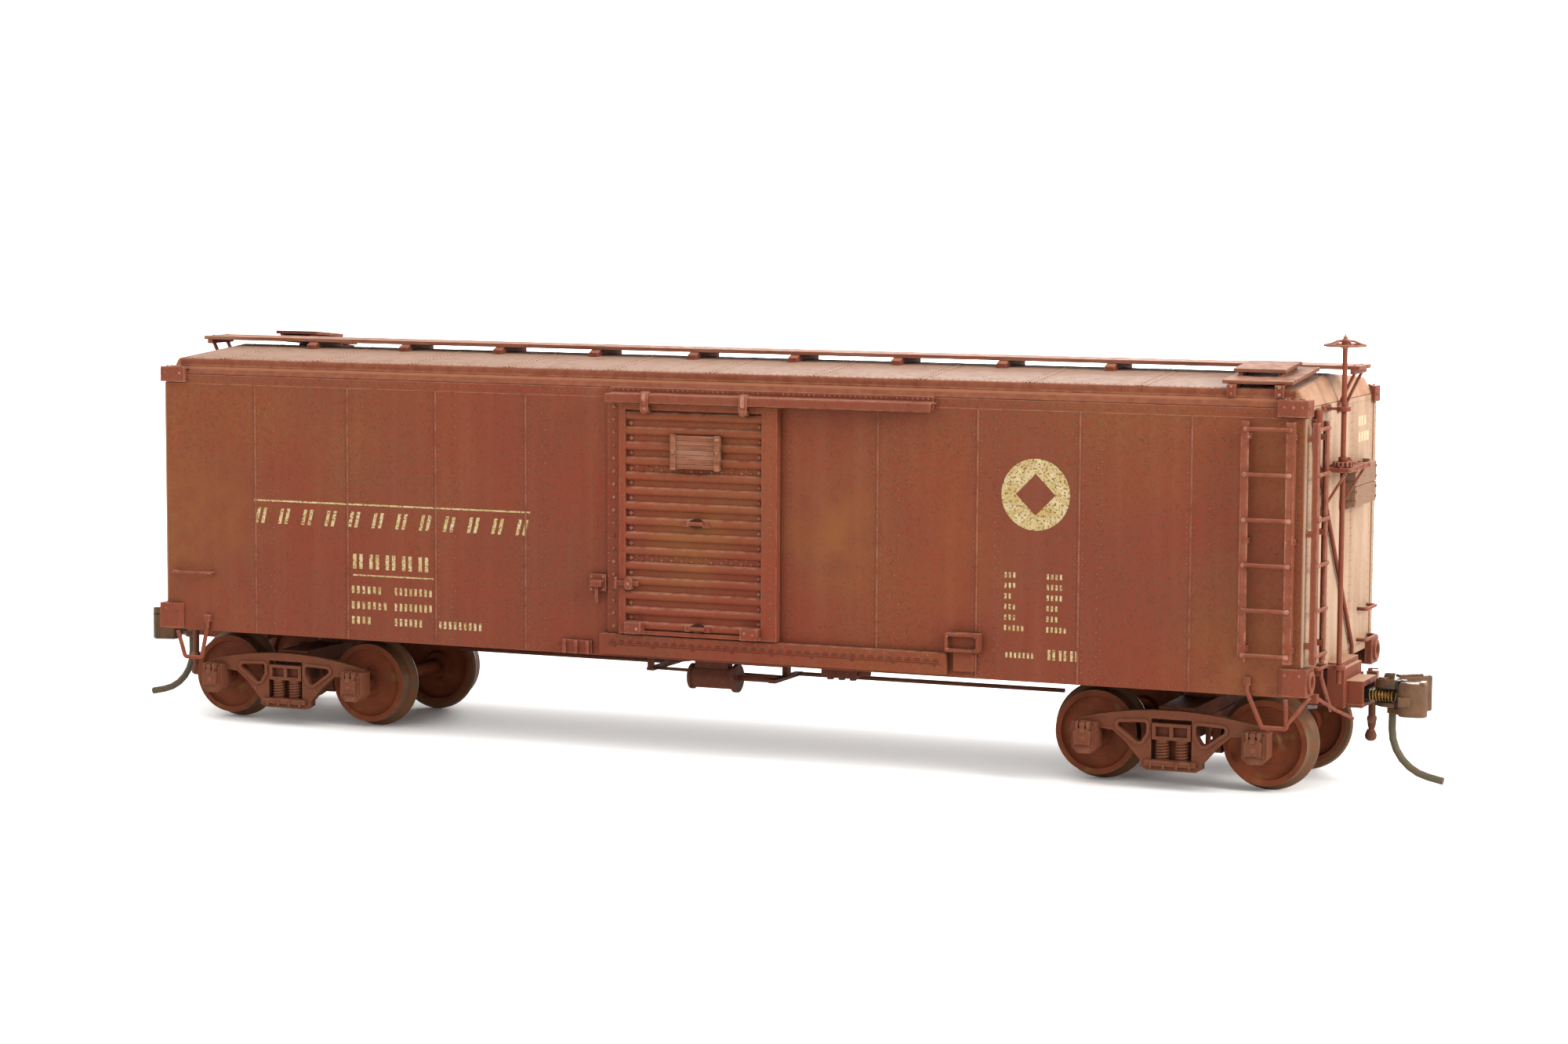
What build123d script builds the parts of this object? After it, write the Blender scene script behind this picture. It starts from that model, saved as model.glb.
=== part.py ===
from build123d import *
from math import cos, radians, sin
import os

os.makedirs("parts", exist_ok=True)

# A plain-sided steel box car in HO scale (1:87.1), in millimetres. X runs along the car, with the hand
# brake on the +X (B) end. Y runs across it, and Z is up from the bottoms of the wheel flanges.
# The car is the same after a half turn about Z, apart from the hand brake and the air brake gear.

# Car body
HALF_LENGTH = 70.5
HALF_WIDTH = 15.6
SHEET = 1.0
SIDE_BOTTOM = 11.4
END_BOTTOM = 13.4
EAVE = 42.4
FLOOR_BOTTOM = 12.9
FLOOR_TOP = 14.1
DECK_HALF_LENGTH = 14.9
WEIGHT_RECESS = 0.3
ROOF_HALF_WIDTH = 14.4
ROOF_END = 69.1
FASCIA_BOTTOM = 43.3
FASCIA_TOP = 44.3
RIDGE = 45.4
SLIDE_GAP = 0.25

# Doors and their hardware, on the near (-Y) side
DOORWAY = (-8.6, 9.3, 40.3)
DOOR_LEFT = -9.3
DOOR_RIGHT = 10.3
DOOR_BOTTOM = 14.3
DOOR_TOP = 40.75
DOOR_BACK = HALF_WIDTH + SLIDE_GAP
DOOR_SKIN = 0.5
DOOR_FACE = 16.9
STILE_LEFT = 0.8
STILE_RIGHT = 1.9
RIBS = 15
RIB_TOP = 39.35
RIB_PITCH = 1.72
TRACK_LEFT = -10.6
TRACK_RIGHT = 29.0
TRACK_TOP = 41.9
TRACK_BOTTOM = 40.85
TRACK_FACE = 18.0
RAIL_LEFT = -11.9
RAIL_RIGHT = 30.6
RAIL_BOTTOM = 11.75
RAIL_TOP = 14.15
RAIL_FACE = 16.7
HANGER_X = (-5.6, 6.6)
HANGER_WIDTH = 0.95
HANGER_FACE = 18.35

# Running boards
BOARD_HALF_LENGTH = 73.1
BOARD_HALF_WIDTH = 2.65
BOARD_TOP = 46.4
BOARD_THICK = 0.45
PLANK_GAP = 0.1
SADDLE_PITCH = 12.78
SADDLES = 9
LATERAL = (61.0, 68.8)
LATERAL_Y = (3.0, 14.5)
LATERAL_Z = (46.2, 45.2)

# Ladders and steps
LADDER_RUNGS = 6
RUNG_TOP = 40.2
RUNG_PITCH = 4.85
RUNG_RADIUS = 0.22
WIRE_RADIUS = 0.2

# Hand brake
STAFF_X = 72.6
STAFF_Y = -7.3
STAFF_RADIUS = 0.28
STAFF_FIT = 0.07
STEP_TOP = 35.7
BRAKE_WHEEL_Z = 49.0
BRAKE_WHEEL_RADIUS = 2.1

# Trucks and wheels
TRUCK_X = 55.6
HALF_WHEELBASE = 9.625
AXLE_Z = 5.45
AXLE_RADIUS = 0.8
AXLE_TIP = 12.9
TREAD_RADIUS = 4.82
FLANGE_RADIUS = 5.45
WHEEL_BACK = 7.2
WHEEL_FACE = 9.99
FRAME_BACK = 12.1
FRAME_FACE = 13.2
JOURNAL_FACE = 14.4
KINGPIN_RADIUS = 0.9
PIN_FIT = 0.08
CENTRE_PLATE = 9.95

# Couplers
PIVOT_X = 67.2
POST_RADIUS = 1.3
GEAR_HALF_WIDTH = 3.0
GEAR_FRONT = 74.3
GEAR_REAR = 64.0
LID_TOP = 9.35
KNUCKLE_PIVOT = (78.6, -2.0)
TRIP_RADIUS = 0.4
TRIP_BEND = 5.2
TRIP_END_ANGLE = 78

# Underframe
SILL_HALF = 3.2
SILL_BOTTOM = 10.1
PIPE_Y = 4.6
PIPE_Z = 11.6
PIPE_RADIUS = 0.35


def save(shape, name):
    shape.label = name
    export_step(shape, f"parts/{name}.step")


def half_turn(shape):
    return shape.rotate(Axis.Z, 180)


def block(low, high):
    """A box between two corners, for use inside a part."""
    size = [high[i] - low[i] for i in range(3)]
    middle = [(high[i] + low[i]) / 2 for i in range(3)]
    with Locations(tuple(middle)):
        Box(*size)


def hole(x, y, z, radius, length, mode=Mode.SUBTRACT):
    """An upright cylinder that starts at height z."""
    with Locations((x, y, z + length / 2)):
        Cylinder(radius, length, mode=mode)


def wire(points, radius, bend):
    """A round bar bent along straight runs with rounded corners."""
    with BuildPart() as bar:
        with BuildLine() as route:
            FilletPolyline(*points, radius=bend)
        with BuildSketch(Plane(origin=route.line @ 0, z_dir=route.line % 0)):
            Circle(radius)
        sweep(path=route.line)
    return bar.part


def strut(start, end, width, depth):
    """A straight flat bar, as wide in Y as its width."""
    run = Vector(*end) - Vector(*start)
    with BuildPart() as bar:
        with BuildSketch(Plane(origin=start, x_dir=(0, 1, 0), z_dir=run)):
            Rectangle(width, depth)
        extrude(amount=run.length)
    return bar.part


def rod(start, end, radius):
    """A straight round bar between two points."""
    run = Vector(*end) - Vector(*start)
    with BuildPart() as bar:
        with BuildSketch(Plane(origin=start, z_dir=run)):
            Circle(radius)
        extrude(amount=run.length)
    return bar.part


# ---------------------------------------------------------------- car body shell
with BuildPart() as side_near:
    with BuildSketch(Plane.XZ.offset(HALF_WIDTH)):
        with Locations((0, (SIDE_BOTTOM + EAVE) / 2)):
            Rectangle(2 * HALF_LENGTH, EAVE - SIDE_BOTTOM)
        with Locations(((DOORWAY[0] + DOORWAY[1]) / 2, (FLOOR_TOP + DOORWAY[2]) / 2)):
            Rectangle(DOORWAY[1] - DOORWAY[0], DOORWAY[2] - FLOOR_TOP, mode=Mode.SUBTRACT)
    extrude(amount=-SHEET)
save(side_near.part, "side_near")
save(half_turn(side_near.part), "side_far")

with BuildPart() as end_b:
    block(
        (HALF_LENGTH - SHEET, -HALF_WIDTH + SHEET, END_BOTTOM),
        (HALF_LENGTH, HALF_WIDTH - SHEET, EAVE),
    )
save(end_b.part, "end_b")
save(half_turn(end_b.part), "end_a")

# The roof is a shallow gable. Its lower edge flares out over the sides and slopes down to the ends.
with BuildPart() as roof:
    with BuildSketch(Plane.YZ.offset(-HALF_LENGTH)):
        with BuildLine():
            Polyline(
                (-HALF_WIDTH, EAVE),
                (-ROOF_HALF_WIDTH, FASCIA_BOTTOM),
                (-ROOF_HALF_WIDTH, FASCIA_TOP),
                (0, RIDGE),
                (ROOF_HALF_WIDTH, FASCIA_TOP),
                (ROOF_HALF_WIDTH, FASCIA_BOTTOM),
                (HALF_WIDTH, EAVE),
                close=True,
            )
        make_face()
    extrude(amount=2 * HALF_LENGTH)
    with BuildSketch(Plane.XZ.offset(HALF_WIDTH)):
        for way in (-1, 1):
            with BuildLine():
                Polyline(
                    (way * HALF_LENGTH, EAVE),
                    (way * (HALF_LENGTH + 1), EAVE),
                    (way * (HALF_LENGTH + 1), RIDGE + 1),
                    (way * ROOF_END, RIDGE + 1),
                    (way * ROOF_END, RIDGE - 0.3),
                    close=True,
                )
            make_face()
    extrude(amount=-2 * HALF_WIDTH, mode=Mode.SUBTRACT)
    with BuildSketch(Plane.YZ.offset(-ROOF_END + SHEET)):
        with BuildLine():
            Polyline(
                (-ROOF_HALF_WIDTH + SHEET, EAVE),
                (-ROOF_HALF_WIDTH + SHEET, FASCIA_TOP - SHEET),
                (0, RIDGE - SHEET),
                (ROOF_HALF_WIDTH - SHEET, FASCIA_TOP - SHEET),
                (ROOF_HALF_WIDTH - SHEET, EAVE),
                close=True,
            )
        make_face()
    extrude(amount=2 * (ROOF_END - SHEET), mode=Mode.SUBTRACT)
save(roof.part, "roof")

# The middle of the floor stands a little higher, as the deck for a load between the weights.
with BuildPart() as floor:
    block((-69.4, -14.5, FLOOR_BOTTOM), (69.4, 14.5, FLOOR_TOP - WEIGHT_RECESS))
    block((-DECK_HALF_LENGTH, -14.5, FLOOR_BOTTOM), (DECK_HALF_LENGTH, 14.5, FLOOR_TOP))
save(floor.part, "floor")

# Steel weights lie in the recesses at both ends, clear of the doorways.
with BuildPart() as ballast_weights:
    for way in (-1, 1):
        near_edge, far_edge = sorted((way * 15, way * 66))
        block((near_edge, -12.5, FLOOR_TOP - WEIGHT_RECESS), (far_edge, 12.5, FLOOR_TOP - WEIGHT_RECESS + 3))
save(ballast_weights.part, "ballast_weights")

# ---------------------------------------------------------------- underframe
with BuildPart() as centre_sill:
    block((-63.9, -SILL_HALF, SILL_BOTTOM), (63.9, SILL_HALF, FLOOR_BOTTOM))
    block((-70.3, -SILL_HALF, 11.9), (70.3, SILL_HALF, FLOOR_BOTTOM))
    with Locations((0, 0, (SILL_BOTTOM + FLOOR_BOTTOM - 0.5) / 2)):
        Box(100, 5.4, FLOOR_BOTTOM - 0.5 - SILL_BOTTOM, mode=Mode.SUBTRACT)
    for way in (-1, 1):
        hole(way * TRUCK_X, 0, CENTRE_PLATE, 2.8, SILL_BOTTOM - CENTRE_PLATE, Mode.ADD)
        hole(way * TRUCK_X, 0, CENTRE_PLATE, KINGPIN_RADIUS, FLOOR_BOTTOM - CENTRE_PLATE)
        hole(way * PIVOT_X, 0, 11.9, 0.7, 0.7)
save(centre_sill.part, "centre_sill")

# Body bolsters over the trucks, and crossbearers between them, are tapered arms on both sides of the sill.
with BuildPart() as crossmembers:
    for x, half in ((-TRUCK_X, 2.5), (-38, 0.6), (-22, 0.6), (22, 0.6), (38, 0.6), (TRUCK_X, 2.5)):
        with BuildSketch(Plane.YZ.offset(x - half)):
            for side in (-1, 1):
                with BuildLine():
                    Polyline(
                        (side * SILL_HALF, FLOOR_BOTTOM),
                        (side * 14.5, FLOOR_BOTTOM),
                        (side * 14.5, 11.9),
                        (side * SILL_HALF, SILL_BOTTOM + 0.1),
                        close=True,
                    )
                make_face()
        extrude(amount=2 * half)
    with Locations(Plane((35.5, PIPE_Y, PIPE_Z), z_dir=(1, 0, 0))):
        Cylinder(PIPE_RADIUS + 0.05, 60, mode=Mode.SUBTRACT)
    with Locations(Plane((-42, -PIPE_Y, PIPE_Z), z_dir=(1, 0, 0))):
        Cylinder(PIPE_RADIUS + 0.05, 60, mode=Mode.SUBTRACT)
save(crossmembers.part, "crossmembers")

# ---------------------------------------------------------------- air brake gear under the floor
with BuildPart() as brake_cylinder:
    with Locations(Plane((-1.3, -8, 8.55), z_dir=(1, 0, 0))):
        Cylinder(1.3, 5.4)
    with Locations(Plane((1.65, -8, 8.55), z_dir=(1, 0, 0))):
        Cylinder(1.65, 0.5)
    with Locations(Plane((-3.9, -8, 8.55), z_dir=(1, 0, 0))):
        Cylinder(1.5, 0.4)
    block((-3.4, -8.7, 9.5), (0.8, -7.3, FLOOR_BOTTOM))
save(brake_cylinder.part, "brake_cylinder")

with BuildPart() as air_reservoir:
    with Locations(Plane((-4, 8.5, 9.6), z_dir=(1, 0, 0))):
        Cylinder(1.9, 11)
    fillet(air_reservoir.edges(), 0.6)
    for x in (-7.5, -0.5):
        block((x - 0.35, 7.9, 10.5), (x + 0.35, 9.1, FLOOR_BOTTOM))
save(air_reservoir.part, "air_reservoir")

with BuildPart() as control_valve:
    block((12.6, -9.0, 9.6), (17.0, -7.2, 10.9))
    block((13.4, -8.6, 10.9), (15.0, -7.6, FLOOR_BOTTOM))
    for x in (13.4, 14.8, 16.2):
        hole(x, -8.1, 9.2, 0.4, 0.5, Mode.ADD)
    with Locations(Plane((17.6, -8.1, 10.2), z_dir=(1, 0, 0))):
        Cylinder(0.45, 1.3)
save(control_valve.part, "control_valve")

# The push rod works one lever, a tie rod joins it to the other, and a rod runs to each truck.
PUSH_ROD = rod((1.9, -8, 8.6), (6.2, -8, 8.6), 0.3)
TRUCK_ROD_B = rod((6.9, -1.6, 8.6), (39.5, -1.6, 8.6), 0.25)
TRUCK_ROD_A = rod((-11.1, 1.6, 8.6), (-39.5, 1.6, 8.6), 0.25)
TIE_ROD = rod((6.3, -5.0, 8.6), (-10.5, -4.0, 8.6), 0.2)
with BuildPart() as brake_rigging:
    block((6.1, -9.2, 8.4), (7.0, -0.9, 8.8))
    block((-11.2, -5.2, 8.4), (-10.3, 2.6, 8.8))
    block((6.2, -5.3, 8.8), (6.9, -4.3, FLOOR_BOTTOM))
    block((-11.1, -5.2, 8.8), (-10.4, -4.7, FLOOR_BOTTOM))
    add(PUSH_ROD)
    add(TRUCK_ROD_B)
    add(TRUCK_ROD_A)
    add(TIE_ROD)
save(brake_rigging.part, "brake_rigging")

# The train pipe changes sides under the sill, and ends in an angle cock with its hose at each end.
PIPE = wire(
    [
        (72.4, PIPE_Y, PIPE_Z),
        (-2, PIPE_Y, PIPE_Z),
        (-3.6, PIPE_Y - 0.2, 9.65),
        (-8.6, -PIPE_Y + 0.2, 9.65),
        (-10.0, -PIPE_Y - 1.4, PIPE_Z),
        (-13.0, -PIPE_Y, PIPE_Z),
        (-72.4, -PIPE_Y, PIPE_Z),
    ],
    PIPE_RADIUS,
    0.6,
)
with BuildPart() as train_pipe:
    add(PIPE)
save(train_pipe.part, "train_pipe")

COCK = strut((72.75, PIPE_Y, 11.3), (74.1, PIPE_Y, 12.3), 1.0, 1.0)
with BuildPart() as hose_b:
    add(COCK)
    hole(73.5, PIPE_Y, 6.3, 0.45, 5.2, Mode.ADD)
    hole(73.5, PIPE_Y, 6.1, 0.58, 0.5, Mode.ADD)
    hole(73.5, PIPE_Y, 5.4, 0.4, 0.9, Mode.ADD)
    with Locations((73.4, PIPE_Y, 4.85)):
        Sphere(0.68)
with BuildPart() as air_hoses:
    add(hose_b.part)
    add(half_turn(hose_b.part))
save(air_hoses.part, "air_hoses")

# ---------------------------------------------------------------- running boards on the roof
PLANK = (2 * BOARD_HALF_WIDTH - 2 * PLANK_GAP) / 3
with BuildPart() as running_board:
    with Locations((0, 0, BOARD_TOP - BOARD_THICK / 2)):
        with GridLocations(1, PLANK + PLANK_GAP, 1, 3):
            Box(2 * BOARD_HALF_LENGTH, PLANK, BOARD_THICK)
save(running_board.part, "running_board")


def roof_height(y):
    return RIDGE - (RIDGE - FASCIA_TOP) * abs(y) / ROOF_HALF_WIDTH


BOARD_BOTTOM = BOARD_TOP - BOARD_THICK
END_STRUTS = [strut((72.3, y, BOARD_BOTTOM - 0.4), (70.65, y, 42.1), 0.5, 0.3) for y in (-1.6, 1.6)]
with BuildPart() as board_end:
    block((72.0, -BOARD_HALF_WIDTH, BOARD_BOTTOM - 0.5), (72.6, BOARD_HALF_WIDTH, BOARD_BOTTOM))
    for bar in END_STRUTS:
        add(bar)
    for y in (-1.6, 1.6):
        block((HALF_LENGTH, y - 0.45, 41.2), (HALF_LENGTH + 0.3, y + 0.45, 42.4))
with BuildPart() as saddles:
    for number in range(SADDLES):
        x = (number - (SADDLES - 1) / 2) * SADDLE_PITCH - 6.3
        with BuildSketch(Plane.YZ.offset(x - 0.6)):
            with BuildLine():
                Polyline(
                    (-3.4, roof_height(3.4)),
                    (0, RIDGE),
                    (3.4, roof_height(3.4)),
                    (3.4, BOARD_BOTTOM - 0.3),
                    (BOARD_HALF_WIDTH, BOARD_BOTTOM),
                    (-BOARD_HALF_WIDTH, BOARD_BOTTOM),
                    (-3.4, BOARD_BOTTOM - 0.3),
                    close=True,
                )
            make_face()
        extrude(amount=1.2)

# The boards across the roof lie on the near side at the B end. Grooves part their planks, which run
# along the car, and a smaller grab board stands over the middle on two cleats.
SLOPE = Vector(0, -(LATERAL_Y[1] - LATERAL_Y[0]), LATERAL_Z[1] - LATERAL_Z[0])
SLOPE_PLANE = Plane(
    origin=(LATERAL[0], -LATERAL_Y[0], LATERAL_Z[0]),
    x_dir=(1, 0, 0),
    z_dir=Vector(1, 0, 0).cross(SLOPE),
)
LATERAL_WIDTH = LATERAL[1] - LATERAL[0]
UP = 1 if SLOPE_PLANE.z_dir.Z > 0 else -1
DOWN = 1 if SLOPE_PLANE.y_dir.Y < 0 else -1


def sloped_board(start, length, across, run, lift, thick, groove):
    """A grooved board in the slope's plane: start and across are along X, run and length down the slope."""
    with BuildPart() as board:
        with BuildSketch(SLOPE_PLANE.offset(UP * lift)):
            with Locations((start + across / 2, DOWN * (run + length / 2))):
                Rectangle(across, length)
        extrude(amount=-UP * thick)
        with BuildSketch(SLOPE_PLANE.offset(UP * lift)):
            for number in range(1, round(length / 0.96)):
                with Locations((start + across / 2, DOWN * (run + number * 0.96))):
                    Rectangle(across, groove)
        extrude(amount=-UP * 0.15, mode=Mode.SUBTRACT)
    return board.part


BIG_BOARD = sloped_board(0, SLOPE.length, LATERAL_WIDTH, 0, 0, 0.4, 0.1)
SMALL_BOARD = sloped_board(0.4, 6.7, 5.9, 1.9, 0.85, 0.4, 0.1)
with BuildPart() as cleat_pair:
    with BuildSketch(SLOPE_PLANE):
        for x in (0.9, 5.3):
            with Locations((x + 0.25, DOWN * (1.9 + 6.7 / 2))):
                Rectangle(0.5, 6.2)
    extrude(amount=UP * 0.45)
with BuildPart() as lateral_boards:
    for board in (BIG_BOARD, cleat_pair.part, SMALL_BOARD):
        add(board)
        add(half_turn(board))
save(lateral_boards.part, "lateral_boards")

with BuildPart() as bracket_pair:
    for x in (62.1, 67.4):
        with BuildSketch(Plane.YZ.offset(x - 0.5)):
            with BuildLine():
                Polyline(
                    (-ROOF_HALF_WIDTH, FASCIA_BOTTOM + 0.1),
                    (-ROOF_HALF_WIDTH - 0.4, FASCIA_BOTTOM + 0.1),
                    (-ROOF_HALF_WIDTH - 0.4, LATERAL_Z[1] - 0.46),
                    (-11.6, LATERAL_Z[1] - 0.2),
                    (-11.6, roof_height(11.6)),
                    (-ROOF_HALF_WIDTH, FASCIA_TOP),
                    close=True,
                )
            make_face()
        extrude(amount=1.0)
with BuildPart() as running_board_supports:
    add(saddles.part)
    for piece in (board_end.part, bracket_pair.part):
        add(piece)
        add(half_turn(piece))
save(running_board_supports.part, "running_board_supports")

# ---------------------------------------------------------------- corner castings
# Each corner has a cap under the eave and a poling pocket at the sill.
with BuildPart() as corner_castings:
    for across in (-1, 1):
        for along in (-1, 1):
            with BuildSketch(Plane.XY.offset(41.5)):
                with BuildLine():
                    Polyline(
                        (along * 67.6, across * HALF_WIDTH),
                        (along * 67.6, across * 16.05),
                        (along * 70.95, across * 16.05),
                        (along * 70.95, across * 13.6),
                        (along * HALF_LENGTH, across * 13.6),
                        (along * HALF_LENGTH, across * HALF_WIDTH),
                        close=True,
                    )
                make_face()
            extrude(amount=1.8)
            with BuildSketch(Plane.XY.offset(43.05)):
                with Locations((along * 69.275, across * 15.4)):
                    Rectangle(3.35, 1.3)
            extrude(amount=0.25)
            with BuildSketch(Plane.XY.offset(11.6)):
                with BuildLine():
                    Polyline(
                        (along * 68.2, across * HALF_WIDTH),
                        (along * 68.2, across * 15.8),
                        (along * 68.7, across * 16.15),
                        (along * 71.3, across * 16.15),
                        (along * 71.3, across * 13.0),
                        (along * HALF_LENGTH, across * 13.0),
                        (along * HALF_LENGTH, across * HALF_WIDTH),
                        close=True,
                    )
                make_face()
            extrude(amount=3.0)
            with Locations(Plane((along * 71.4, across * 14.7, 13.1), z_dir=(along, 0, 0))):
                Cylinder(1.15, 0.4)
                Cylinder(0.75, 1.0, mode=Mode.SUBTRACT)
save(corner_castings.part, "corner_castings")

# ---------------------------------------------------------------- door hardware on the body
with BuildPart() as track_near:
    block((TRACK_LEFT - 0.3, -16.0, 40.95), (TRACK_RIGHT - 0.4, -HALF_WIDTH, 42.55))
    block((TRACK_LEFT, -TRACK_FACE, TRACK_TOP - 0.2), (TRACK_RIGHT, -16.0, TRACK_TOP))
    block((TRACK_LEFT, -TRACK_FACE, TRACK_BOTTOM), (TRACK_RIGHT, -TRACK_FACE + 0.25, TRACK_TOP))
with BuildPart() as door_tracks:
    add(track_near.part)
    add(half_turn(track_near.part))
save(door_tracks.part, "door_tracks")

with BuildPart() as rail_near:
    block((RAIL_LEFT, -RAIL_FACE, RAIL_BOTTOM), (RAIL_RIGHT, -HALF_WIDTH, RAIL_TOP))
with BuildPart() as door_rails:
    add(rail_near.part)
    add(half_turn(rail_near.part))
save(door_rails.part, "door_rails")

with BuildPart() as stop_near:
    block((30.5, -17.0, 14.4), (34.5, -HALF_WIDTH, 16.5))
    with Locations((32.5, -17.0, 15.45)):
        Box(3.3, 1.6, 1.4, mode=Mode.SUBTRACT)
    block((31.3, -16.3, 12.2), (33.7, -HALF_WIDTH, 14.4))
with BuildPart() as door_stops:
    add(stop_near.part)
    add(half_turn(stop_near.part))
save(door_stops.part, "door_stops")

with BuildPart() as post_near:
    block((-11.2, -16.05, RAIL_TOP), (-9.45, -HALF_WIDTH, 40.9))
with BuildPart() as door_posts:
    add(post_near.part)
    add(half_turn(post_near.part))
save(door_posts.part, "door_posts")

# A keeper with its hanging pin takes the door's hasp, and a ribbed rope staple is on the side sill.
with BuildPart() as keeper_near:
    block((-13.4, -16.2, 18.9), (-11.25, -HALF_WIDTH, 20.9))
    block((-13.0, -16.9, 19.5), (-11.6, -16.2, 20.2))
    block((-12.5, -16.6, 17.6), (-12.1, -16.2, 19.5))
    block((-17.0, -16.0, 11.5), (-13.2, -HALF_WIDTH, 13.1))
    for x in (-16.6, -15.1, -13.6):
        block((x - 0.2, -16.4, 11.5), (x + 0.2, -16.0, 13.1))
with BuildPart() as latch_keepers:
    add(keeper_near.part)
    add(half_turn(keeper_near.part))
save(latch_keepers.part, "latch_keepers")

# ---------------------------------------------------------------- doors
with BuildPart() as door_near:
    block((DOOR_LEFT, -DOOR_BACK - DOOR_SKIN, DOOR_BOTTOM), (DOOR_RIGHT, -DOOR_BACK, DOOR_TOP))
    block((DOOR_LEFT, -DOOR_FACE, DOOR_BOTTOM), (DOOR_LEFT + STILE_LEFT, -DOOR_BACK, DOOR_TOP))
    block((DOOR_RIGHT - STILE_RIGHT, -DOOR_FACE, DOOR_BOTTOM), (DOOR_RIGHT, -DOOR_BACK, DOOR_TOP))
    block((DOOR_LEFT, -DOOR_FACE, DOOR_TOP - 0.7), (DOOR_RIGHT, -DOOR_BACK, DOOR_TOP))
    block((DOOR_LEFT, -DOOR_FACE, DOOR_BOTTOM), (DOOR_RIGHT, -DOOR_BACK, DOOR_BOTTOM + 0.45))
    with BuildSketch(Plane.YZ.offset(DOOR_LEFT + STILE_LEFT)):
        for number in range(RIBS):
            height = RIB_TOP - number * RIB_PITCH
            with BuildLine():
                Line((-DOOR_BACK - 0.2, height - 0.5), (-DOOR_BACK - 0.2, height + 0.5))
                Line((-DOOR_BACK - 0.2, height + 0.5), (-DOOR_BACK - DOOR_SKIN, height + 0.5))
                ThreePointArc(
                    (-DOOR_BACK - DOOR_SKIN, height + 0.5),
                    (-DOOR_FACE + 0.05, height),
                    (-DOOR_BACK - DOOR_SKIN, height - 0.5),
                )
                Line((-DOOR_BACK - DOOR_SKIN, height - 0.5), (-DOOR_BACK - 0.2, height - 0.5))
            make_face()
    extrude(amount=DOOR_RIGHT - STILE_RIGHT - DOOR_LEFT - STILE_LEFT)
save(door_near.part, "door_near")
save(half_turn(door_near.part), "door_far")

# Hangers hook over the track, guide blocks ride the lower rail, and the rest is bolted to the face.
HANDLES = [
    wire([(x0, -DOOR_FACE + 0.2, z), (x0, -17.5, z), (x1, -17.5, z), (x1, -DOOR_FACE + 0.2, z)], 0.16, 0.3)
    for x0, x1, z in ((-0.9, 1.7, 27.3), (-0.7, 1.9, 15.3))
]
with BuildPart() as fittings_near:
    for x in HANGER_X:
        left = x - HANGER_WIDTH / 2
        right = x + HANGER_WIDTH / 2
        block((left, -HANGER_FACE, 39.9), (right, -DOOR_FACE, 40.65))
        block((left, -HANGER_FACE, 39.9), (right, -HANGER_FACE + 0.25, 42.2))
        block((left, -HANGER_FACE, 42.0), (right, -17.5, 42.2))
    for left, right in ((-8.3, -6.1), (6.1, 8.4)):
        block((left, -17.45, 14.35), (right, -DOOR_FACE, 15.9))
    block((-2.5, -17.4, 33.5), (3.35, -DOOR_FACE, 37.3))
    for x in (-2.3, 3.15):
        block((x - 0.3, -17.6, 33.4), (x + 0.3, -17.4, 37.4))
    block((-9.9, -17.3, 19.75), (-6.8, -DOOR_FACE, 20.5))
    block((-8.4, -17.5, 19.4), (-7.4, -17.3, 20.8))
    for bar in HANDLES:
        add(bar)
with BuildPart() as door_clear:
    add(fittings_near.part)
    add(door_near.part, mode=Mode.SUBTRACT)
save(door_clear.part, "door_near_fittings")
save(half_turn(door_clear.part), "door_far_fittings")

# ---------------------------------------------------------------- ladders, steps and grab irons
RUNG_HEIGHTS = [RUNG_TOP - number * RUNG_PITCH for number in range(LADDER_RUNGS)]
with BuildPart() as side_ladder:
    for outer, inner in ((63.9, 64.15), (69.7, 69.45)):
        low, high = sorted((outer, inner))
        block((low, -17.0, 15.2), (high, -16.1, 41.0))
        face = outer + (0.85 if outer < 66 else -0.85)
        low, high = sorted((outer, face))
        block((low, -17.0, 15.2), (high, -16.8, 41.0))
        low, high = sorted((outer, face))
        for z in (16.6, 28.2, 39.4):
            block((low, -16.8, z - 0.3), (high, -HALF_WIDTH, z + 0.3))
    for z in RUNG_HEIGHTS:
        with Locations(Plane((66.8, -17.1, z), z_dir=(1, 0, 0))):
            Cylinder(RUNG_RADIUS, 5.2)
with BuildPart() as side_ladders:
    add(side_ladder.part)
    add(half_turn(side_ladder.part))
save(side_ladders.part, "side_ladders")

with BuildPart() as end_ladder:
    for outer, face in ((-15.2, -14.3), (-10.6, -11.5)):
        low, high = sorted((outer, face))
        inner = outer + 0.25 if outer < face else outer - 0.25
        web = sorted((outer, inner))
        block((71.25, web[0], 15.0), (71.9, web[1], 40.9))
        block((71.65, low, 15.0), (71.9, high, 40.9))
        for z in (17.0, 29.0, 39.2):
            block((HALF_LENGTH, low, z - 0.3), (71.65, high, z + 0.3))
    for z in RUNG_HEIGHTS:
        with Locations(Plane((72.0, -12.9, z), z_dir=(0, 1, 0))):
            Cylinder(RUNG_RADIUS, 4.0)
with BuildPart() as end_ladders:
    add(end_ladder.part)
    add(half_turn(end_ladder.part))
save(end_ladders.part, "end_ladders")

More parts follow.
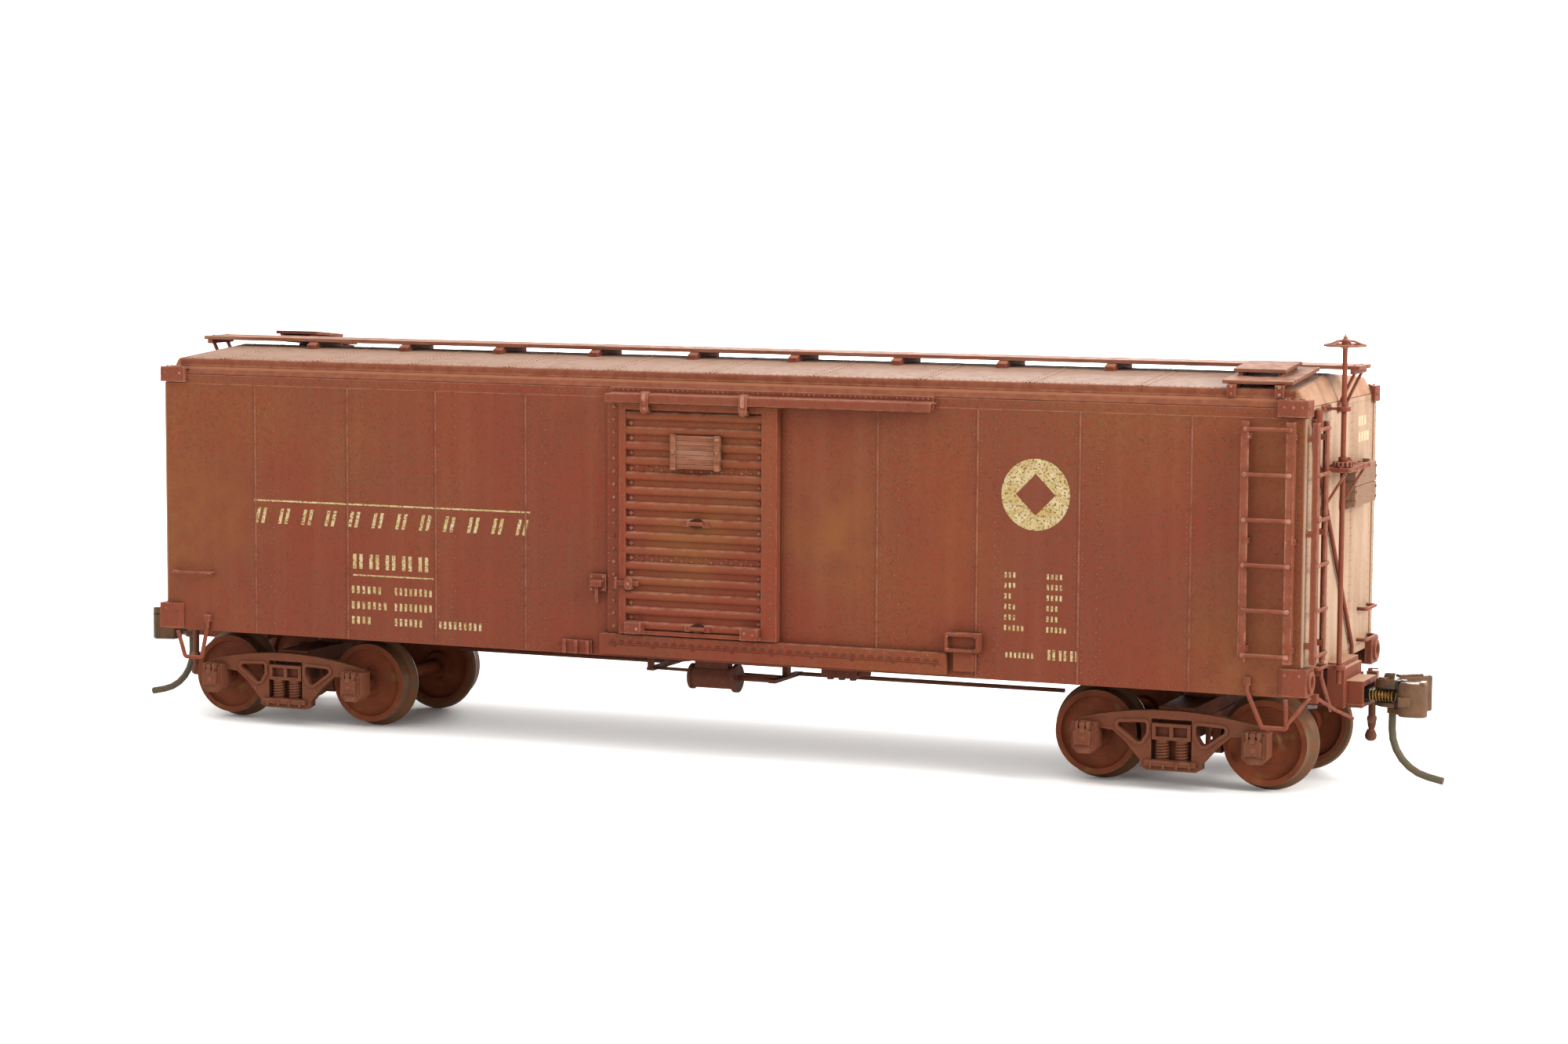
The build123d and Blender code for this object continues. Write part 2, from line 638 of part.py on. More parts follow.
STEP_Y = -16.0
LADDER_STEP = wire(
    [
        (64.75, -15.85, 13.4),
        (64.75, STEP_Y, 12.0),
        (66.45, STEP_Y, 8.15),
        (69.2, STEP_Y, 8.1),
        (69.0, STEP_Y, 11.3),
    ],
    0.25,
    0.35,
)
STEP_BRACE = wire(
    [(69.0, STEP_Y, 8.35), (70.4, STEP_Y, 10.0), (71.2, -15.2, 11.3), (71.2, -14.4, 11.35)],
    0.22,
    0.3,
)
PLAIN_STEP = wire(
    [
        (-64.75, -15.85, 13.2),
        (-64.75, STEP_Y, 12.0),
        (-65.6, STEP_Y, 8.15),
        (-67.9, STEP_Y, 8.15),
        (-68.9, STEP_Y, 11.3),
    ],
    0.25,
    0.35,
)
with BuildPart() as sill_steps:
    for bar in (LADDER_STEP, STEP_BRACE, PLAIN_STEP):
        add(bar)
    block((64.4, STEP_Y - 0.1, 12.6), (65.1, -HALF_WIDTH, 13.5))
    block((-65.1, STEP_Y - 0.1, 12.6), (-64.4, -HALF_WIDTH, 13.4))
    add(half_turn(sill_steps.part))
save(sill_steps.part, "sill_steps")


def grab(start, end, reach):
    """A grab iron: a bar held off the sheet by reach, with its feet at start and end."""
    first = tuple(start[i] + reach[i] for i in range(3))
    last = tuple(end[i] + reach[i] for i in range(3))
    return wire([start, first, last, end], WIRE_RADIUS, 0.3)


SIDE_GRAB = grab((-69.2, -HALF_WIDTH, 18.5), (-64.0, -HALF_WIDTH, 18.5), (0, -1.0, 0))
END_GRABS = [
    grab((HALF_LENGTH, 9.0, 18.4), (HALF_LENGTH, 13.4, 18.4), (1.1, 0, 0)),
    grab((HALF_LENGTH, 8.9, 14.9), (HALF_LENGTH, 13.9, 14.9), (1.1, 0, 0)),
    grab((HALF_LENGTH, -12.6, 14.3), (HALF_LENGTH, -9.2, 14.3), (1.3, 0, 0)),
]
with BuildPart() as grab_irons:
    for bar in (SIDE_GRAB, *END_GRABS):
        add(bar)
        add(half_turn(bar))
save(grab_irons.part, "grab_irons")

# ---------------------------------------------------------------- hand brake on the B end
STEP_BRACES = [strut((73.2, y, STEP_TOP - 0.5), (70.6, y, 30.9), 0.4, 0.25) for y in (-8.3, 0.1)]
with BuildPart() as brake_step:
    block((HALF_LENGTH, -8.8, STEP_TOP - 0.5), (73.7, 0.6, STEP_TOP))
    hole(STAFF_X, STAFF_Y, STEP_TOP - 1, STAFF_RADIUS + STAFF_FIT, 2)
    for bar in STEP_BRACES:
        add(bar)
    for y in (-8.3, 0.1):
        block((HALF_LENGTH, y - 0.3, 30.4), (HALF_LENGTH + 0.25, y + 0.3, 31.4))
    # The ratchet's pawl is cast on the step.
    with BuildSketch(Plane.XY.offset(STEP_TOP)):
        with BuildLine():
            Polyline((71.9, -5.5), (72.4, -5.9), (72.55, -5.75), (73.0, -4.6), (72.4, -4.2), close=True)
        make_face()
    extrude(amount=0.6)
    hole(72.6, -4.8, STEP_TOP, 0.3, 0.9, Mode.ADD)
save(brake_step.part, "brake_step")


with BuildPart() as staff_brackets:
    block((HALF_LENGTH, STAFF_Y - 0.35, 41.85), (STAFF_X, STAFF_Y + 0.35, 42.15))
    hole(STAFF_X, STAFF_Y, 41.75, 0.75, 0.5, Mode.ADD)
    block((HALF_LENGTH, STAFF_Y - 1.6, 41.6), (HALF_LENGTH + 0.3, STAFF_Y + 1.6, 42.4))
    block((HALF_LENGTH, STAFF_Y - 0.5, 13.75), (STAFF_X, STAFF_Y + 0.5, 14.1))
    hole(STAFF_X, STAFF_Y, 13.65, 0.7, 0.5, Mode.ADD)
    block((HALF_LENGTH, STAFF_Y - 0.5, 13.5), (HALF_LENGTH + 0.3, STAFF_Y + 0.5, 15.4))
    hole(STAFF_X, STAFF_Y, 10, STAFF_RADIUS + STAFF_FIT, 40)
save(staff_brackets.part, "staff_brackets")

RATCHET_TEETH = 14
with BuildPart() as brake_staff:
    hole(STAFF_X, STAFF_Y, 12.1, STAFF_RADIUS, BRAKE_WHEEL_Z - 0.35 - 12.1, Mode.ADD)
    with BuildSketch(Plane.XY.offset(STEP_TOP + 0.1)):
        with Locations((STAFF_X, STAFF_Y)):
            Circle(0.95)
            with PolarLocations(0.95, RATCHET_TEETH):
                Rectangle(0.4, 0.2)
    extrude(amount=0.5)
    hole(STAFF_X, STAFF_Y, STEP_TOP + 0.6, 0.5, 0.5, Mode.ADD)
save(brake_staff.part, "brake_staff")

SPOKES = [
    rod(
        (STAFF_X + 0.3 * cos(radians(a)), STAFF_Y + 0.3 * sin(radians(a)), BRAKE_WHEEL_Z - 0.2),
        (
            STAFF_X + BRAKE_WHEEL_RADIUS * cos(radians(a)),
            STAFF_Y + BRAKE_WHEEL_RADIUS * sin(radians(a)),
            BRAKE_WHEEL_Z,
        ),
        0.15,
    )
    for a in (20, 92, 164, 236, 308)
]
with BuildPart() as brake_wheel:
    with Locations((STAFF_X, STAFF_Y, BRAKE_WHEEL_Z)):
        Torus(BRAKE_WHEEL_RADIUS, 0.2)
    hole(STAFF_X, STAFF_Y, BRAKE_WHEEL_Z - 0.35, 0.45, 0.6, Mode.ADD)
    for spoke in SPOKES:
        add(spoke)
save(brake_wheel.part, "brake_wheel")

# ---------------------------------------------------------------- fittings on the ends
with BuildPart() as tack_board:
    block((71.25, 1.2, 30.6), (71.75, 10.8, 35.1))
    for y in (1.5, 10.5):
        block((HALF_LENGTH, y - 0.3, 30.4), (71.25, y + 0.3, 35.3))
with BuildPart() as tack_boards:
    add(tack_board.part)
    add(half_turn(tack_board.part))
save(tack_boards.part, "tack_boards")

RETAINER_PIPE = wire(
    [(70.85, -12.4, 40.3), (70.85, -12.4, 37.9), (70.85, 5.4, 14.7), (70.85, 5.4, 12.9)],
    0.24,
    0.8,
)
with BuildPart() as retainer_valve:
    add(RETAINER_PIPE)
    hole(71.1, -12.4, 40.3, 0.5, 1.6, Mode.ADD)
    with Locations((71.1, -12.4, 41.9)):
        Sphere(0.45)
    block((HALF_LENGTH, -13.0, 40.6), (71.1, -11.8, 41.2))
save(retainer_valve.part, "retainer_valve")

LEVER_ROD = wire([(71.5, -12.6, 11.0), (71.5, -11.9, 11.0), (72.1, -7.0, 9.2), (73.3, -3.4, 7.8)], 0.2, 0.6)
LEVER_STRAP = strut((71.6, -11.2, 13.4), (71.7, -7.0, 9.1), 0.5, 0.25)
with BuildPart() as lever_b:
    add(LEVER_ROD)
    add(LEVER_STRAP)
    block((HALF_LENGTH, -13.0, 10.6), (71.7, -12.3, 11.6))
    block((HALF_LENGTH, -11.6, 13.4), (71.75, -10.8, 14.0))
with BuildPart() as uncoupling_levers:
    add(lever_b.part)
    add(half_turn(lever_b.part))
save(uncoupling_levers.part, "uncoupling_levers")

# ---------------------------------------------------------------- draft gear and couplers
with BuildPart() as gear_box:
    block((GEAR_REAR, -GEAR_HALF_WIDTH, LID_TOP), (GEAR_FRONT, GEAR_HALF_WIDTH, 11.9))
    with Locations(((GEAR_REAR + 1 + GEAR_FRONT + 1) / 2, 0, (LID_TOP + 11.2) / 2)):
        Box(GEAR_FRONT - GEAR_REAR, 5.0, 11.2 - LID_TOP, mode=Mode.SUBTRACT)
    hole(PIVOT_X, 0, LID_TOP, POST_RADIUS, 11.2 - LID_TOP, Mode.ADD)
    hole(PIVOT_X, 0, LID_TOP, 0.7, 3)
    # The striker frames the mouth of the box under the end sheet.
    for side in (-1, 1):
        low, high = sorted((side * GEAR_HALF_WIDTH, side * 3.9))
        block((70.4, low, 8.9), (72.4, high, 13.3))
    block((70.4, -GEAR_HALF_WIDTH, 11.9), (72.4, GEAR_HALF_WIDTH, 13.3))
    block((HALF_LENGTH, -3.9, 13.3), (72.0, 3.9, 13.9))
with BuildPart() as draft_gear_boxes:
    add(gear_box.part)
    add(half_turn(gear_box.part))
save(draft_gear_boxes.part, "draft_gear_boxes")

with BuildPart() as gear_lid:
    block((GEAR_REAR, -GEAR_HALF_WIDTH, LID_TOP - 0.45), (GEAR_FRONT, GEAR_HALF_WIDTH, LID_TOP))
    hole(PIVOT_X, 0, LID_TOP - 1, 0.7, 2)
with BuildPart() as draft_gear_lids:
    add(gear_lid.part)
    add(half_turn(gear_lid.part))
save(draft_gear_lids.part, "draft_gear_lids")

# One screw holds each box, and a larger one is the pin that each truck turns on.
with BuildPart() as screw_pair:
    hole(PIVOT_X, 0, LID_TOP - 0.45, 0.7, 3.7, Mode.ADD)
    hole(PIVOT_X, 0, LID_TOP - 1.15, 1.3, 0.7, Mode.ADD)
    hole(TRUCK_X, 0, 7.2, KINGPIN_RADIUS, FLOOR_BOTTOM - 7.2, Mode.ADD)
    hole(TRUCK_X, 0, 6.2, 1.8, 1.0, Mode.ADD)
    for x, z in ((PIVOT_X, LID_TOP - 1.15), (TRUCK_X, 6.2)):
        with Locations((x, 0, z)):
            Box(4, 0.4, 0.6, mode=Mode.SUBTRACT)
with BuildPart() as mounting_screws:
    add(screw_pair.part)
    add(half_turn(screw_pair.part))
save(mounting_screws.part, "mounting_screws")

with BuildPart() as coupler_b:
    block((PIVOT_X, -1.15, 9.7), (76.5, 1.15, 10.8))
    hole(PIVOT_X, 0, 9.7, 2.1, 1.1, Mode.ADD)
    hole(PIVOT_X, 0, 9.0, POST_RADIUS + 0.06, 3)
    with BuildSketch(Plane.XY.offset(9.05)):
        with BuildLine():
            Polyline(
                (75.3, -1.2),
                (75.9, -1.6),
                (77.6, -1.6),
                (77.6, 0.4),
                (79.9, 2.2),
                (80.7, 3.3),
                (79.9, 3.8),
                (77.6, 3.1),
                (75.9, 2.2),
                (75.3, 1.2),
                close=True,
            )
        make_face()
    extrude(amount=3.2)
    with BuildSketch(Plane.XY.offset(8.1)):
        with BuildLine():
            Polyline((77.0, 1.6), (79.2, 1.7), (79.9, 2.2), (80.7, 3.3), (79.9, 3.8), (77.6, 3.1), close=True)
        make_face()
    extrude(amount=1.0)
    with BuildSketch(Plane.XY.offset(12.0)):
        with BuildLine():
            Polyline(
                (76.0, -1.6), (76.6, -2.5), (79.2, -2.6), (79.6, -1.6), (78.4, -0.4), (77.0, 0.2), close=True
            )
        make_face()
    extrude(amount=0.3)
    hole(*KNUCKLE_PIVOT, 8.1, 0.35, 4.2, Mode.ADD)
save(coupler_b.part, "coupler_b")
save(half_turn(coupler_b.part), "coupler_a")

# The knuckle's tail reaches under the head, and the trip pin is pressed into it.
TRIP_TOP = 8.2
TRIP_STRAIGHT = 6.4
TRIP_X = 76.9
END_X = TRIP_X + TRIP_BEND * (1 - cos(radians(TRIP_END_ANGLE)))
END_Z = TRIP_STRAIGHT - TRIP_BEND * sin(radians(TRIP_END_ANGLE))
HALF_BEND = radians(TRIP_END_ANGLE / 2)
with BuildPart() as trip_pin:
    with BuildLine() as trip_route:
        Line((TRIP_X, 0, TRIP_TOP), (TRIP_X, 0, TRIP_STRAIGHT))
        ThreePointArc(
            (TRIP_X, 0, TRIP_STRAIGHT),
            (
                TRIP_X + TRIP_BEND * (1 - cos(HALF_BEND)),
                0,
                TRIP_STRAIGHT - TRIP_BEND * sin(HALF_BEND),
            ),
            (END_X, 0, END_Z),
        )
        Line((END_X, 0, END_Z), (END_X + 1.7, 0, END_Z - 0.36))
    with BuildSketch(Plane((TRIP_X, 0, TRIP_TOP), z_dir=(0, 0, -1))):
        Circle(TRIP_RADIUS)
    sweep(path=trip_route.line)

with BuildPart() as knuckle_b:
    with BuildSketch(Plane.XY.offset(8.15)):
        with BuildLine():
            Polyline(
                (78.1, -2.9),
                (80.8, -2.9),
                (81.3, -2.4),
                (81.3, 0.2),
                (80.5, 0.9),
                (79.9, 0.3),
                (79.9, -0.7),
                (79.1, -1.2),
                (78.1, -1.4),
                close=True,
            )
        make_face()
    extrude(amount=3.75)
    with BuildSketch(Plane.XY.offset(8.15)):
        with BuildLine():
            Polyline((78.2, -1.8), (76.4, -0.6), (76.4, 0.6), (77.4, 0.6), (79.0, -1.2), close=True)
        make_face()
    extrude(amount=0.8)
    hole(*KNUCKLE_PIVOT, 8, 0.35 + STAFF_FIT, 5)
    add(trip_pin.part)
save(knuckle_b.part, "knuckle_b")
save(half_turn(knuckle_b.part), "knuckle_a")

with BuildPart() as knuckle_spring_b:
    with Locations(Plane((76.45, -2.3, 10.1), z_dir=(1, 0, 0))):
        Cylinder(0.6, 2.4)
        Cylinder(0.42, 2.4, mode=Mode.SUBTRACT)
save(knuckle_spring_b.part, "knuckle_spring_b")
save(half_turn(knuckle_spring_b.part), "knuckle_spring_a")

# ---------------------------------------------------------------- trucks, each built at the origin
CHORD_TOP = 8.85
WINDOW = [(2.8, 7.45), (6.0, 7.3), (6.15, 6.9), (3.9, 5.25), (3.4, 5.3), (2.8, 6.3)]
with BuildPart() as frame_near:
    with BuildSketch(Plane.XZ.offset(FRAME_BACK)):
        with BuildLine():
            ThreePointArc((-10.6, 7.5), (0, CHORD_TOP), (10.6, 7.5))
            Polyline(
                (10.6, 7.5),
                (10.9, 6.9),
                (8.2, 6.5),
                (6.7, 6.35),
                (5.2, 5.1),
                (3.5, 3.2),
                (3.5, 2.6),
                (2.8, 2.2),
                (-2.8, 2.2),
                (-3.5, 2.6),
                (-3.5, 3.2),
                (-5.2, 5.1),
                (-6.7, 6.35),
                (-8.2, 6.5),
                (-10.9, 6.9),
                (-10.6, 7.5),
            )
        make_face()
    extrude(amount=FRAME_FACE - FRAME_BACK)
    with BuildSketch(Plane.XZ.offset(FRAME_BACK)) as windows:
        for way in (-1, 1):
            with BuildLine():
                Polyline(*[(way * x, z) for x, z in WINDOW], close=True)
            make_face()
        fillet(windows.vertices(), 0.3)
        offset(amount=0.35)
    extrude(amount=FRAME_FACE - FRAME_BACK + 0.2)
    with BuildSketch(Plane.XZ.offset(FRAME_BACK)) as openings:
        for way in (-1, 1):
            with BuildLine():
                Polyline(*[(way * x, z) for x, z in WINDOW], close=True)
            make_face()
        fillet(openings.vertices(), 0.3)
        with Locations((0, (3.35 + 7.9) / 2)):
            Rectangle(4.6, 7.9 - 3.35)
    extrude(amount=FRAME_FACE - FRAME_BACK + 1, mode=Mode.SUBTRACT)
    block((-2.9, -13.7, 2.75), (2.9, -FRAME_BACK, 3.35))
    for way in (-1, 1):
        x = way * HALF_WHEELBASE
        with BuildSketch(Plane.XZ.offset(FRAME_BACK)):
            with BuildLine():
                Polyline(
                    (x - 1.4, 7.2),
                    (x + 1.4, 7.2),
                    (x + 1.4, 4.4),
                    (x + 0.7, 3.7),
                    (x - 0.7, 3.7),
                    (x - 1.4, 4.4),
                    close=True,
                )
            make_face()
        extrude(amount=JOURNAL_FACE - FRAME_BACK)
        block((x - 1.15, -JOURNAL_FACE - 0.2, 4.5), (x + 1.15, -JOURNAL_FACE, 6.9))
        block((x - 0.3, -JOURNAL_FACE - 0.45, 6.3), (x + 0.3, -JOURNAL_FACE, 7.4))
        with BuildSketch(Plane((x, 0, AXLE_Z), x_dir=(0, 1, 0), z_dir=(1, 0, 0))):
            with BuildLine():
                Polyline((-FRAME_BACK + 0.1, 0), (-FRAME_BACK + 0.1, 0.57), (-AXLE_TIP - 0.2, 0), close=True)
            make_face()
        revolve(axis=Axis((x, 0, AXLE_Z), (0, 1, 0)), mode=Mode.SUBTRACT)
with BuildPart() as side_frames:
    add(frame_near.part)
    add(half_turn(frame_near.part))

with BuildPart() as bolster:
    block((-2.2, -13.3, 5.6), (2.2, 13.3, 7.4))
    block((-2.0, -11.4, 7.4), (2.0, 11.4, 9.0))
    hole(0, 0, 9.0, 2.6, CENTRE_PLATE - 0.08 - 9.0, Mode.ADD)
    for side in (-1, 1):
        for x in (-1.0, 1.0):
            with Locations((x, side * 13.3, 6.5)):
                Box(1.6, 1.4, 1.1, mode=Mode.SUBTRACT)
    hole(0, 0, 5.0, 2.0, 2.3)
    hole(0, 0, 5.0, KINGPIN_RADIUS + PIN_FIT, 6)

with BuildPart() as springs:
    for side in (-1, 1):
        for x in (-1.1, 1.1):
            with Locations((x, side * 12.65, (3.35 + 5.6) / 2)):
                Cylinder(0.68, 5.6 - 3.35)
                Cylinder(0.4, 5.6 - 3.35, mode=Mode.SUBTRACT)

# Each beam hangs between the bolster and a wheelset, with a shoe at each tread.
with BuildPart() as beam:
    block((3.0, -10.3, 4.4), (3.6, 10.3, 5.2))
    for side in (-1, 1):
        low, high = sorted((side * 8.2, side * 9.7))
        block((3.6, low, 4.0), (5.4, high, 6.8))
        low, high = sorted((side * 9.8, side * 10.3))
        block((3.0, low, 5.2), (3.5, high, 8.3))
        low, high = sorted((side * 9.8, side * FRAME_BACK))
        block((3.0, low, 7.9), (3.5, high, 8.3))
    with Locations(Plane((HALF_WHEELBASE, 0, AXLE_Z), z_dir=(0, 1, 0))):
        Cylinder(TREAD_RADIUS + 0.28, 30, mode=Mode.SUBTRACT)
with BuildPart() as brake_beams:
    add(beam.part)
    add(half_turn(beam.part))

for letter, way in (("a", -1), ("b", 1)):
    there = Location((way * TRUCK_X, 0, 0))
    save(side_frames.part.moved(there), f"truck_{letter}_side_frames")
    save(bolster.part.moved(there), f"truck_{letter}_bolster")
    save(springs.part.moved(there), f"truck_{letter}_springs")
    save(brake_beams.part.moved(there), f"truck_{letter}_brake_beams")

# ---------------------------------------------------------------- wheelsets
with BuildPart() as wheelset:
    with BuildSketch(Plane.YZ):
        with BuildLine():
            Polyline((-AXLE_TIP, 0), (-11.4, AXLE_RADIUS), (11.4, AXLE_RADIUS), (AXLE_TIP, 0), close=True)
        make_face()
    revolve(axis=Axis.Y)
with BuildPart() as wheel:
    with BuildSketch(Plane.YZ):
        with BuildLine():
            Polyline(
                (WHEEL_BACK, AXLE_RADIUS),
                (WHEEL_BACK, 1.5),
                (WHEEL_BACK + 0.6, 1.8),
                (WHEEL_BACK + 0.6, 4.0),
                (WHEEL_BACK, 4.2),
                (WHEEL_BACK, FLANGE_RADIUS - 0.25),
                (WHEEL_BACK + 0.2, FLANGE_RADIUS),
                (WHEEL_BACK + 0.45, FLANGE_RADIUS),
                (WHEEL_BACK + 0.75, TREAD_RADIUS + 0.1),
                (WHEEL_BACK + 0.95, TREAD_RADIUS),
                (WHEEL_FACE, TREAD_RADIUS - 0.1),
                (WHEEL_FACE, 4.1),
                (WHEEL_FACE - 0.55, 3.95),
                (WHEEL_FACE - 0.75, 1.9),
                (WHEEL_FACE - 0.25, 1.5),
                (WHEEL_FACE - 0.25, AXLE_RADIUS),
                close=True,
            )
        make_face()
    revolve(axis=Axis.Y)
    mirror(about=Plane.XZ)
for letter, way in (("a", -1), ("b", 1)):
    for number, offset_x in ((1, -HALF_WHEELBASE), (2, HALF_WHEELBASE)):
        there = Location((way * (TRUCK_X + offset_x), 0, AXLE_Z))
        pieces = Compound(children=[s.moved(there) for s in (*wheelset.part.solids(), *wheel.part.solids())])
        save(pieces, f"wheelset_{letter}{number}")
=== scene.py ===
import math

import bmesh
import bpy
from mathutils import Matrix, Vector


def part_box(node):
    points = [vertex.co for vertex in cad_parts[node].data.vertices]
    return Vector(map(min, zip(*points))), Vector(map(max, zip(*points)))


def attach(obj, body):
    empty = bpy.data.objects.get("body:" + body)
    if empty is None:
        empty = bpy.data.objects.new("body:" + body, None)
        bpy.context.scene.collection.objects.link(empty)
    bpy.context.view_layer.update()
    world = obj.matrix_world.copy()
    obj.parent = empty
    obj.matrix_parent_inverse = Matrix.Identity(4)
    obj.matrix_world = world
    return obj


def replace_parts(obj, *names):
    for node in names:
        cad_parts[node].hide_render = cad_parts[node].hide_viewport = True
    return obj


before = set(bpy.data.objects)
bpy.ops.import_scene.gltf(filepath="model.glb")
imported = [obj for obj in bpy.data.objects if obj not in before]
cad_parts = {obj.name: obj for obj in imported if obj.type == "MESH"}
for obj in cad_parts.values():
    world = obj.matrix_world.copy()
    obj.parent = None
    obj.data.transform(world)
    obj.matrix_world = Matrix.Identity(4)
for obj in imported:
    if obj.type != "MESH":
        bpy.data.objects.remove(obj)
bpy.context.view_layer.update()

# A weathered HO box car. Shapes are worked out in millimetres, and become metres as each piece
# is made.
MM = 0.001
X, Y, Z = Vector((1, 0, 0)), Vector((0, 1, 0)), Vector((0, 0, 1))
OUT = -Y  # away from the near side
END = X  # away from the B end


def extent(node):
    """A CAD node's lowest and highest corners, in millimetres."""
    low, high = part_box(node)
    return low / MM, high / MM


SIDE_LOW, SIDE_HIGH = extent("side_near")
WALL = SIDE_LOW.y
HALF_LENGTH = SIDE_HIGH.x
EAVE = SIDE_HIGH.z
RIDGE = extent("roof")[1].z
ROOF_HALF_WIDTH = 14.4
FASCIA_TOP = 44.3
DOOR_LOW, DOOR_HIGH = extent("door_near")
DOOR_SHEET = DOOR_HIGH.y - 0.5
TRUCK_X = (extent("truck_b_bolster")[0].x + extent("truck_b_bolster")[1].x) / 2
SEAMS = (21.9, 33.7, 45.5, 58.1)
FRAME_FACE = extent("truck_b_side_frames")[0].y
PAINTED = 0.012  # how far a painted mark stands off its surface
SUNK = 0.01  # how far it reaches into it
SHEET_PITCH = 12.78  # of the roof's sheets and the running board's saddles
BOARD_TOP = 46.4
RAIL_FACE = -16.7
LID_BACK = -14.3
AXLE_HEIGHT = 5.45
STAFF_X, STAFF_Y = 72.6, -7.3
HOSE_X, HOSE_Y = 73.5, 4.6
SHARP_ANGLE = math.radians(35)
BEVEL_ANGLE = math.radians(40)


# ---------------------------------------------------------------- meshes
class Shape:
    """Closed solids, gathered in millimetres into the mesh of one piece."""

    def __init__(self):
        self.points = []
        self.faces = []

    def add(self, points, faces):
        first = len(self.points)
        self.points += [Vector(p) for p in points]
        self.faces += [[first + i for i in face] for face in faces]

    def prism(self, outline, origin, u, v, depth):
        """A flat outline in the plane of u and v, pushed along depth."""
        origin, depth = Vector(origin), Vector(depth)
        base = [origin + u * a + v * b for a, b in outline]
        n = len(base)
        sides = [(i, (i + 1) % n, n + (i + 1) % n, n + i) for i in range(n)]
        ends = [tuple(range(n))[::-1], tuple(range(n, 2 * n))]
        self.add(base + [p + depth for p in base], ends + sides)

    def box(self, low, high):
        size = [high[i] - low[i] for i in range(3)]
        outline = [(0, 0), (size[0], 0), (size[0], size[1]), (0, size[1])]
        self.prism(outline, low, X, Y, Z * size[2])

    def ridge(self, start, end, normal, width, height):
        """A low raised line on a surface, three-sided in section."""
        start, end = Vector(start), Vector(end)
        across = (end - start).normalized().cross(normal) * (width / 2)
        outline = [(-1, 0), (1, 0), (0, 1)]
        self.prism(outline, start, across, normal * height, end - start)

    def rings(self, rings, tip=None):
        """Rings of as many points each, joined in turn and closed. A tip closes the last one."""
        n = len(rings[0])
        faces = [tuple(range(n))[::-1]]
        for k in range(len(rings) - 1):
            for i in range(n):
                j = (i + 1) % n
                faces.append((k * n + i, k * n + j, (k + 1) * n + j, (k + 1) * n + i))
        last = (len(rings) - 1) * n
        points = [p for ring in rings for p in ring]
        if tip is None:
            faces.append(tuple(range(last, last + n)))
        else:
            points.append(tip)
            faces += [(last + i, last + (i + 1) % n, len(points) - 1) for i in range(n)]
        self.add(points, faces)

    def circle(self, centre, normal, radius, sides, phase=0.0):
        u = normal.orthogonal().normalized()
        v = normal.cross(u)
        angles = [phase + 2 * math.pi * i / sides for i in range(sides)]
        return [Vector(centre) + (u * math.cos(a) + v * math.sin(a)) * radius for a in angles]

    def dome(self, at, normal, radius=0.11, height=0.08, sides=6):
        """A rivet head."""
        at, normal = Vector(at), Vector(normal).normalized()
        base = self.circle(at - normal * 0.02, normal, radius, sides)
        shoulder = self.circle(at + normal * height * 0.66, normal, radius * 0.72, sides)
        self.rings([base, shoulder], at + normal * height)

    def bolt(self, at, normal, radius=0.2, height=0.2, sides=6, phase=0.3):
        """A bolt head or nut with a chamfered top."""
        at, normal = Vector(at), Vector(normal).normalized()
        base = self.circle(at - normal * 0.02, normal, radius, sides, phase)
        edge = self.circle(at + normal * height * 0.75, normal, radius, sides, phase)
        top = self.circle(at + normal * height, normal, radius * 0.75, sides, phase)
        self.rings([base, edge, top])

    def rod(self, start, end, radius, sides=10, end_radius=None):
        start, end = Vector(start), Vector(end)
        along = (end - start).normalized()
        last = radius if end_radius is None else end_radius
        self.rings([self.circle(start, along, radius, sides), self.circle(end, along, last, sides)])

    def lathe(self, profile, centre, sides=20):
        """An upright turned shape. The profile is (radius, height) pairs."""
        rings = [self.circle(Vector(centre) + Z * h, Z, r, sides) for r, h in profile]
        self.rings(rings)

    def tube(self, path, radius, sides=8):
        """A round bar along a path, its section carried along without twisting."""
        path = [Vector(p) for p in path]
        side = (path[1] - path[0]).orthogonal().normalized()
        rings = []
        for i, p in enumerate(path):
            along = (path[min(i + 1, len(path) - 1)] - path[max(i - 1, 0)]).normalized()
            side = (side - along * side.dot(along)).normalized()
            up = along.cross(side)
            angles = [2 * math.pi * k / sides for k in range(sides)]
            rings.append([p + (side * math.cos(a) + up * math.sin(a)) * radius for a in angles])
        self.rings(rings)

    def coil(self, start, end, radius, wire, turns, steps=14):
        """A coil spring between two points, with closed ends."""
        start, end = Vector(start), Vector(end)
        along = (end - start).normalized()
        u = along.orthogonal().normalized()
        v = along.cross(u)
        path = []
        for i in range(turns * steps + 1):
            share = i / (turns * steps)
            rise = wire + (1 - 2 * wire / (end - start).length) * share * (end - start).length
            a = 2 * math.pi * turns * share
            path.append(start + along * rise + (u * math.cos(a) + v * math.sin(a)) * radius)
        self.tube(path, wire, 6)

    def row(self, start, end, pitch, normal, radius=0.11, height=0.08):
        """Rivets in a line, at about that pitch."""
        start, end = Vector(start), Vector(end)
        count = max(1, round((end - start).length / pitch))
        for i in range(count + 1):
            self.dome(start.lerp(end, i / count), normal, radius, height)

    def half_turned(self):
        """The same shape on the far side and the other end."""
        turned = Shape()
        turned.add([(-p.x, -p.y, p.z) for p in self.points], self.faces)
        return turned

    def both(self):
        """This shape with its half turned copy."""
        pair = Shape()
        pair.add(self.points, self.faces)
        pair.add([(-p.x, -p.y, p.z) for p in self.points], self.faces)
        return pair

    def moved(self, by):
        shifted = Shape()
        shifted.add([p + Vector(by) for p in self.points], self.faces)
        return shifted

